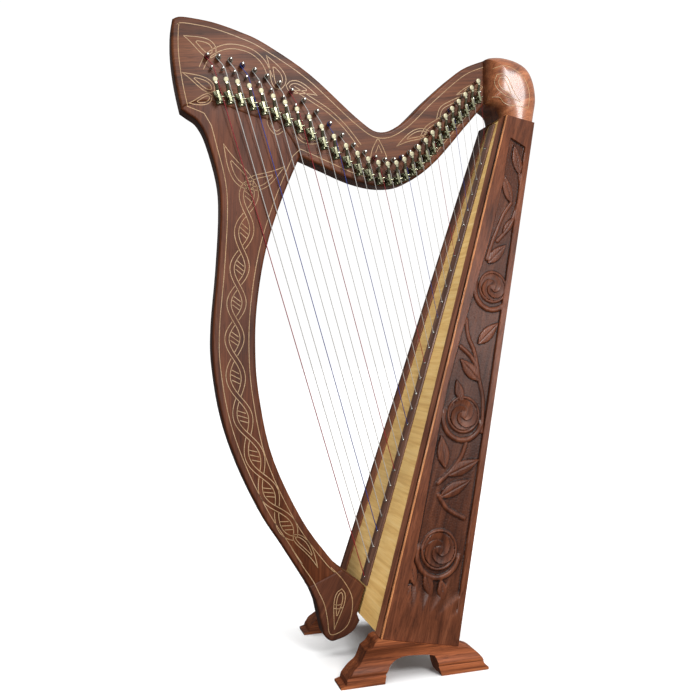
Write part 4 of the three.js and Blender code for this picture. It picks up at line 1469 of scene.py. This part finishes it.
def foot(side, name):
    """A foot sliced into level bands, so that its outer face can carry the moulding."""
    points = foot_outline()
    shape = bmesh.new()
    near = [shape.verts.new(at(x, side * FOOT_INNER, z)) for x, z in points]
    far = [shape.verts.new(at(x, side * FOOT_OUTER, z)) for x, z in points]
    shape.faces.new(near)
    shape.faces.new(far[::-1])
    walls(shape, far, near)
    bmesh.ops.recalc_face_normals(shape, faces=shape.faces)
    bmesh.ops.triangulate(shape, faces=[f for f in shape.faces if len(f.verts) > 4])
    levels = sorted({p[0] for p in FOOT_MOULDING} | FOOT_SLICES)
    for level in levels[1:-1]:
        bmesh.ops.bisect_plane(
            shape, geom=everything(shape), plane_co=(0, 0, level * MM), plane_no=(0, 0, 1))
    outer = side * FOOT_OUTER * MM
    for v in shape.verts:
        if abs(v.co.y - outer) < 1e-6:
            v.co.y -= side * foot_setback(v.co.z / MM) * MM
    obj = sculpted(f"moulded_foot_{name}", shape, "frame", foot_wood, 38)
    bevel = obj.modifiers.new("soft_edges", "BEVEL")
    bevel.width = 0.8 * MM
    bevel.segments = 2
    bevel.limit_method = "ANGLE"
    bevel.angle_limit = math.radians(50)
    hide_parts(f"foot_{name}")


for side, name in SIDES:
    foot(side, name)

# ------------------------------------------------------------------ CAD nodes that stay
KEPT = {
    board_wood: ["soundboard"],
    back_wood: ["back_panel"],
    pale_wood: [
        "inner_rib", "lining_left", "lining_right", "bottom_board", "base_block", "top_block",
        "cross_brace_low", "cross_brace_middle", "cross_brace_high",
    ],
    steel: [
        "pillar_bolt", "shoulder_screw_front", "shoulder_screw_back", "foot_screw_front_left",
        "foot_screw_back_left", "foot_screw_front_right", "foot_screw_back_right",
    ],
}
for material, names in KEPT.items():
    for name in names:
        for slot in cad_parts[name].material_slots:
            slot.material = material


# ------------------------------------------------------------------ floor, light and camera
def floor():
    """A pale floor. It takes light and shadow but throws no light back up onto the wood."""
    shader = Shader("pale_floor")
    base = shader.coordinates()
    grain = shader.noise(base, 3.0, detail=2)
    tone = shader.ramp(
        grain, "Fac", [(0.3, (0.90, 0.90, 0.90, 1)), (0.7, (0.93, 0.93, 0.93, 1))])
    shader.color(tone, "Color")
    shader.set(Roughness=0.8)
    mesh = bpy.data.meshes.new("floor")
    reach = 14.0
    mesh.from_pydata(
        [(-reach, -reach, 0), (reach, -reach, 0), (reach, reach, 0), (-reach, reach, 0)],
        [], [(0, 1, 2, 3)])
    mesh.materials.append(shader.material)
    obj = linked("floor", mesh)
    obj.visible_diffuse = False
    obj.visible_glossy = False
    return obj


def softbox(name, place, target, size, power):
    """A rectangular lamp at a place, aimed at a target; sizes in metres, power in watts."""
    light = bpy.data.lights.new(name, "AREA")
    light.shape = "RECTANGLE"
    light.size = size[0]
    light.size_y = size[1]
    light.energy = power
    obj = linked(name, light)
    obj.location = place
    aim = Vector(target) - Vector(place)
    obj.rotation_euler = aim.to_track_quat("-Z", "Y").to_euler()
    return obj


# How bright the backdrop is as a light, by how high and how far to the right it lies.
SKY_BY_HEIGHT = {"From Min": -0.4, "From Max": 0.9, "To Min": 0.16, "To Max": 0.8}
SKY_BY_SIDE = {"From Min": -0.5, "From Max": 0.7, "To Min": 0.25, "To Max": 1.0}
BACKDROP = 1.05  # how bright the backdrop looks


def studio(tree):
    """A white backdrop that lights the part softly from above and from the right."""
    nodes, links = tree.nodes, tree.links
    background = nodes["Background"]
    background.inputs["Color"].default_value = WHITE
    direction = nodes.new("ShaderNodeTexCoord")
    split = nodes.new("ShaderNodeSeparateXYZ")
    links.new(direction.outputs["Generated"], split.inputs["Vector"])
    product = nodes.new("ShaderNodeMath")
    product.operation = "MULTIPLY"
    for i, (axis, values) in enumerate((("Z", SKY_BY_HEIGHT), ("X", SKY_BY_SIDE))):
        share = nodes.new("ShaderNodeMapRange")
        for name, value in values.items():
            share.inputs[name].default_value = value
        links.new(split.outputs[axis], share.inputs["Value"])
        links.new(share.outputs["Result"], product.inputs[i])
    path = nodes.new("ShaderNodeLightPath")
    strength = nodes.new("ShaderNodeMix")
    links.new(path.outputs["Is Camera Ray"], strength.inputs["Factor"])
    links.new(product.outputs["Value"], strength.inputs["A"])
    strength.inputs["B"].default_value = BACKDROP
    links.new(strength.outputs["Result"], background.inputs["Strength"])


def only(lamp, name, objects, leave_out=False):
    """Lets a lamp light only the given objects, or everything but them."""
    group = bpy.data.collections.new(name)
    for obj in objects:
        group.objects.link(obj)
    lamp.light_linking.receiver_collection = group
    if leave_out:
        for entry in group.collection_objects:
            entry.light_linking.link_state = "EXCLUDE"


def lights(ground):
    world = bpy.data.worlds.new("studio")
    bpy.context.scene.world = world
    world.use_nodes = True
    studio(world.node_tree)
    sun = bpy.data.lights.new("floor_light", "SUN")
    sun.energy = 3.0
    sun.angle = math.radians(70)
    only(linked("floor_light", sun), "floor_targets", [ground])
    softbox("front_fill", (-0.3, -2.6, 0.45), (0.0, 0, 0.35), (1.2, 0.5), 16)
    key = softbox("key_light", (0.45, -2.0, 2.0), (0.05, 0, 0.6), (0.7, 0.7), 36)
    only(key, "key_targets", SHOULDER, leave_out=True)
    glow = softbox("shoulder_light", (0.78, -1.5, 1.46), (0.25, 0, 0.9), (0.8, 0.8), 52)
    only(glow, "shoulder_targets", SHOULDER)
    board = softbox("board_light", (-1.3, -0.9, 1.3), (0.1, 0, 0.4), (0.8, 0.8), 30)
    only(board, "board_targets", BOARD_SIDE)
    rim = softbox("side_light", (0.85, -0.95, 0.65), (0.17, 0, 0.45), (0.4, 0.6), 3)
    only(rim, "side_targets", SIDE_PIECES)


def camera():
    """A little left of the instrument, level with its middle."""
    yaw, pitch, roll = math.radians(17.33), math.radians(0.45), math.radians(-0.21)
    forward = Vector((
        math.sin(yaw) * math.cos(pitch), math.cos(yaw) * math.cos(pitch), -math.sin(pitch)))
    level = Vector((math.cos(yaw), -math.sin(yaw), 0))
    upright = level.cross(forward)
    right = level * math.cos(roll) + upright * math.sin(roll)
    up = upright * math.cos(roll) - level * math.sin(roll)
    data = bpy.data.cameras.new("camera")
    data.sensor_width = 36  # millimetres, as is the lens
    data.lens = 39.29
    data.clip_start = 0.02
    obj = linked("camera", data)
    matrix = Matrix((right, up, -forward)).transposed().to_4x4()
    matrix.translation = at(-392.9, -1182.9, 501.1)
    obj.matrix_world = matrix
    bpy.context.scene.camera = obj


def named(*names):
    return [bpy.data.objects[name] for name in names]


SHOULDER = named("shoulder_pillow")
BOARD_SIDE = [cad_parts["soundboard"]] + named(
    "string_rib", "string_eyelets", "trim_strip_left", "trim_arris_left", "trim_strip_right")
SIDE_PIECES = named("carved_side_left", "moulded_foot_left")
lights(floor())
camera()
bpy.context.scene.view_settings.view_transform = "Standard"
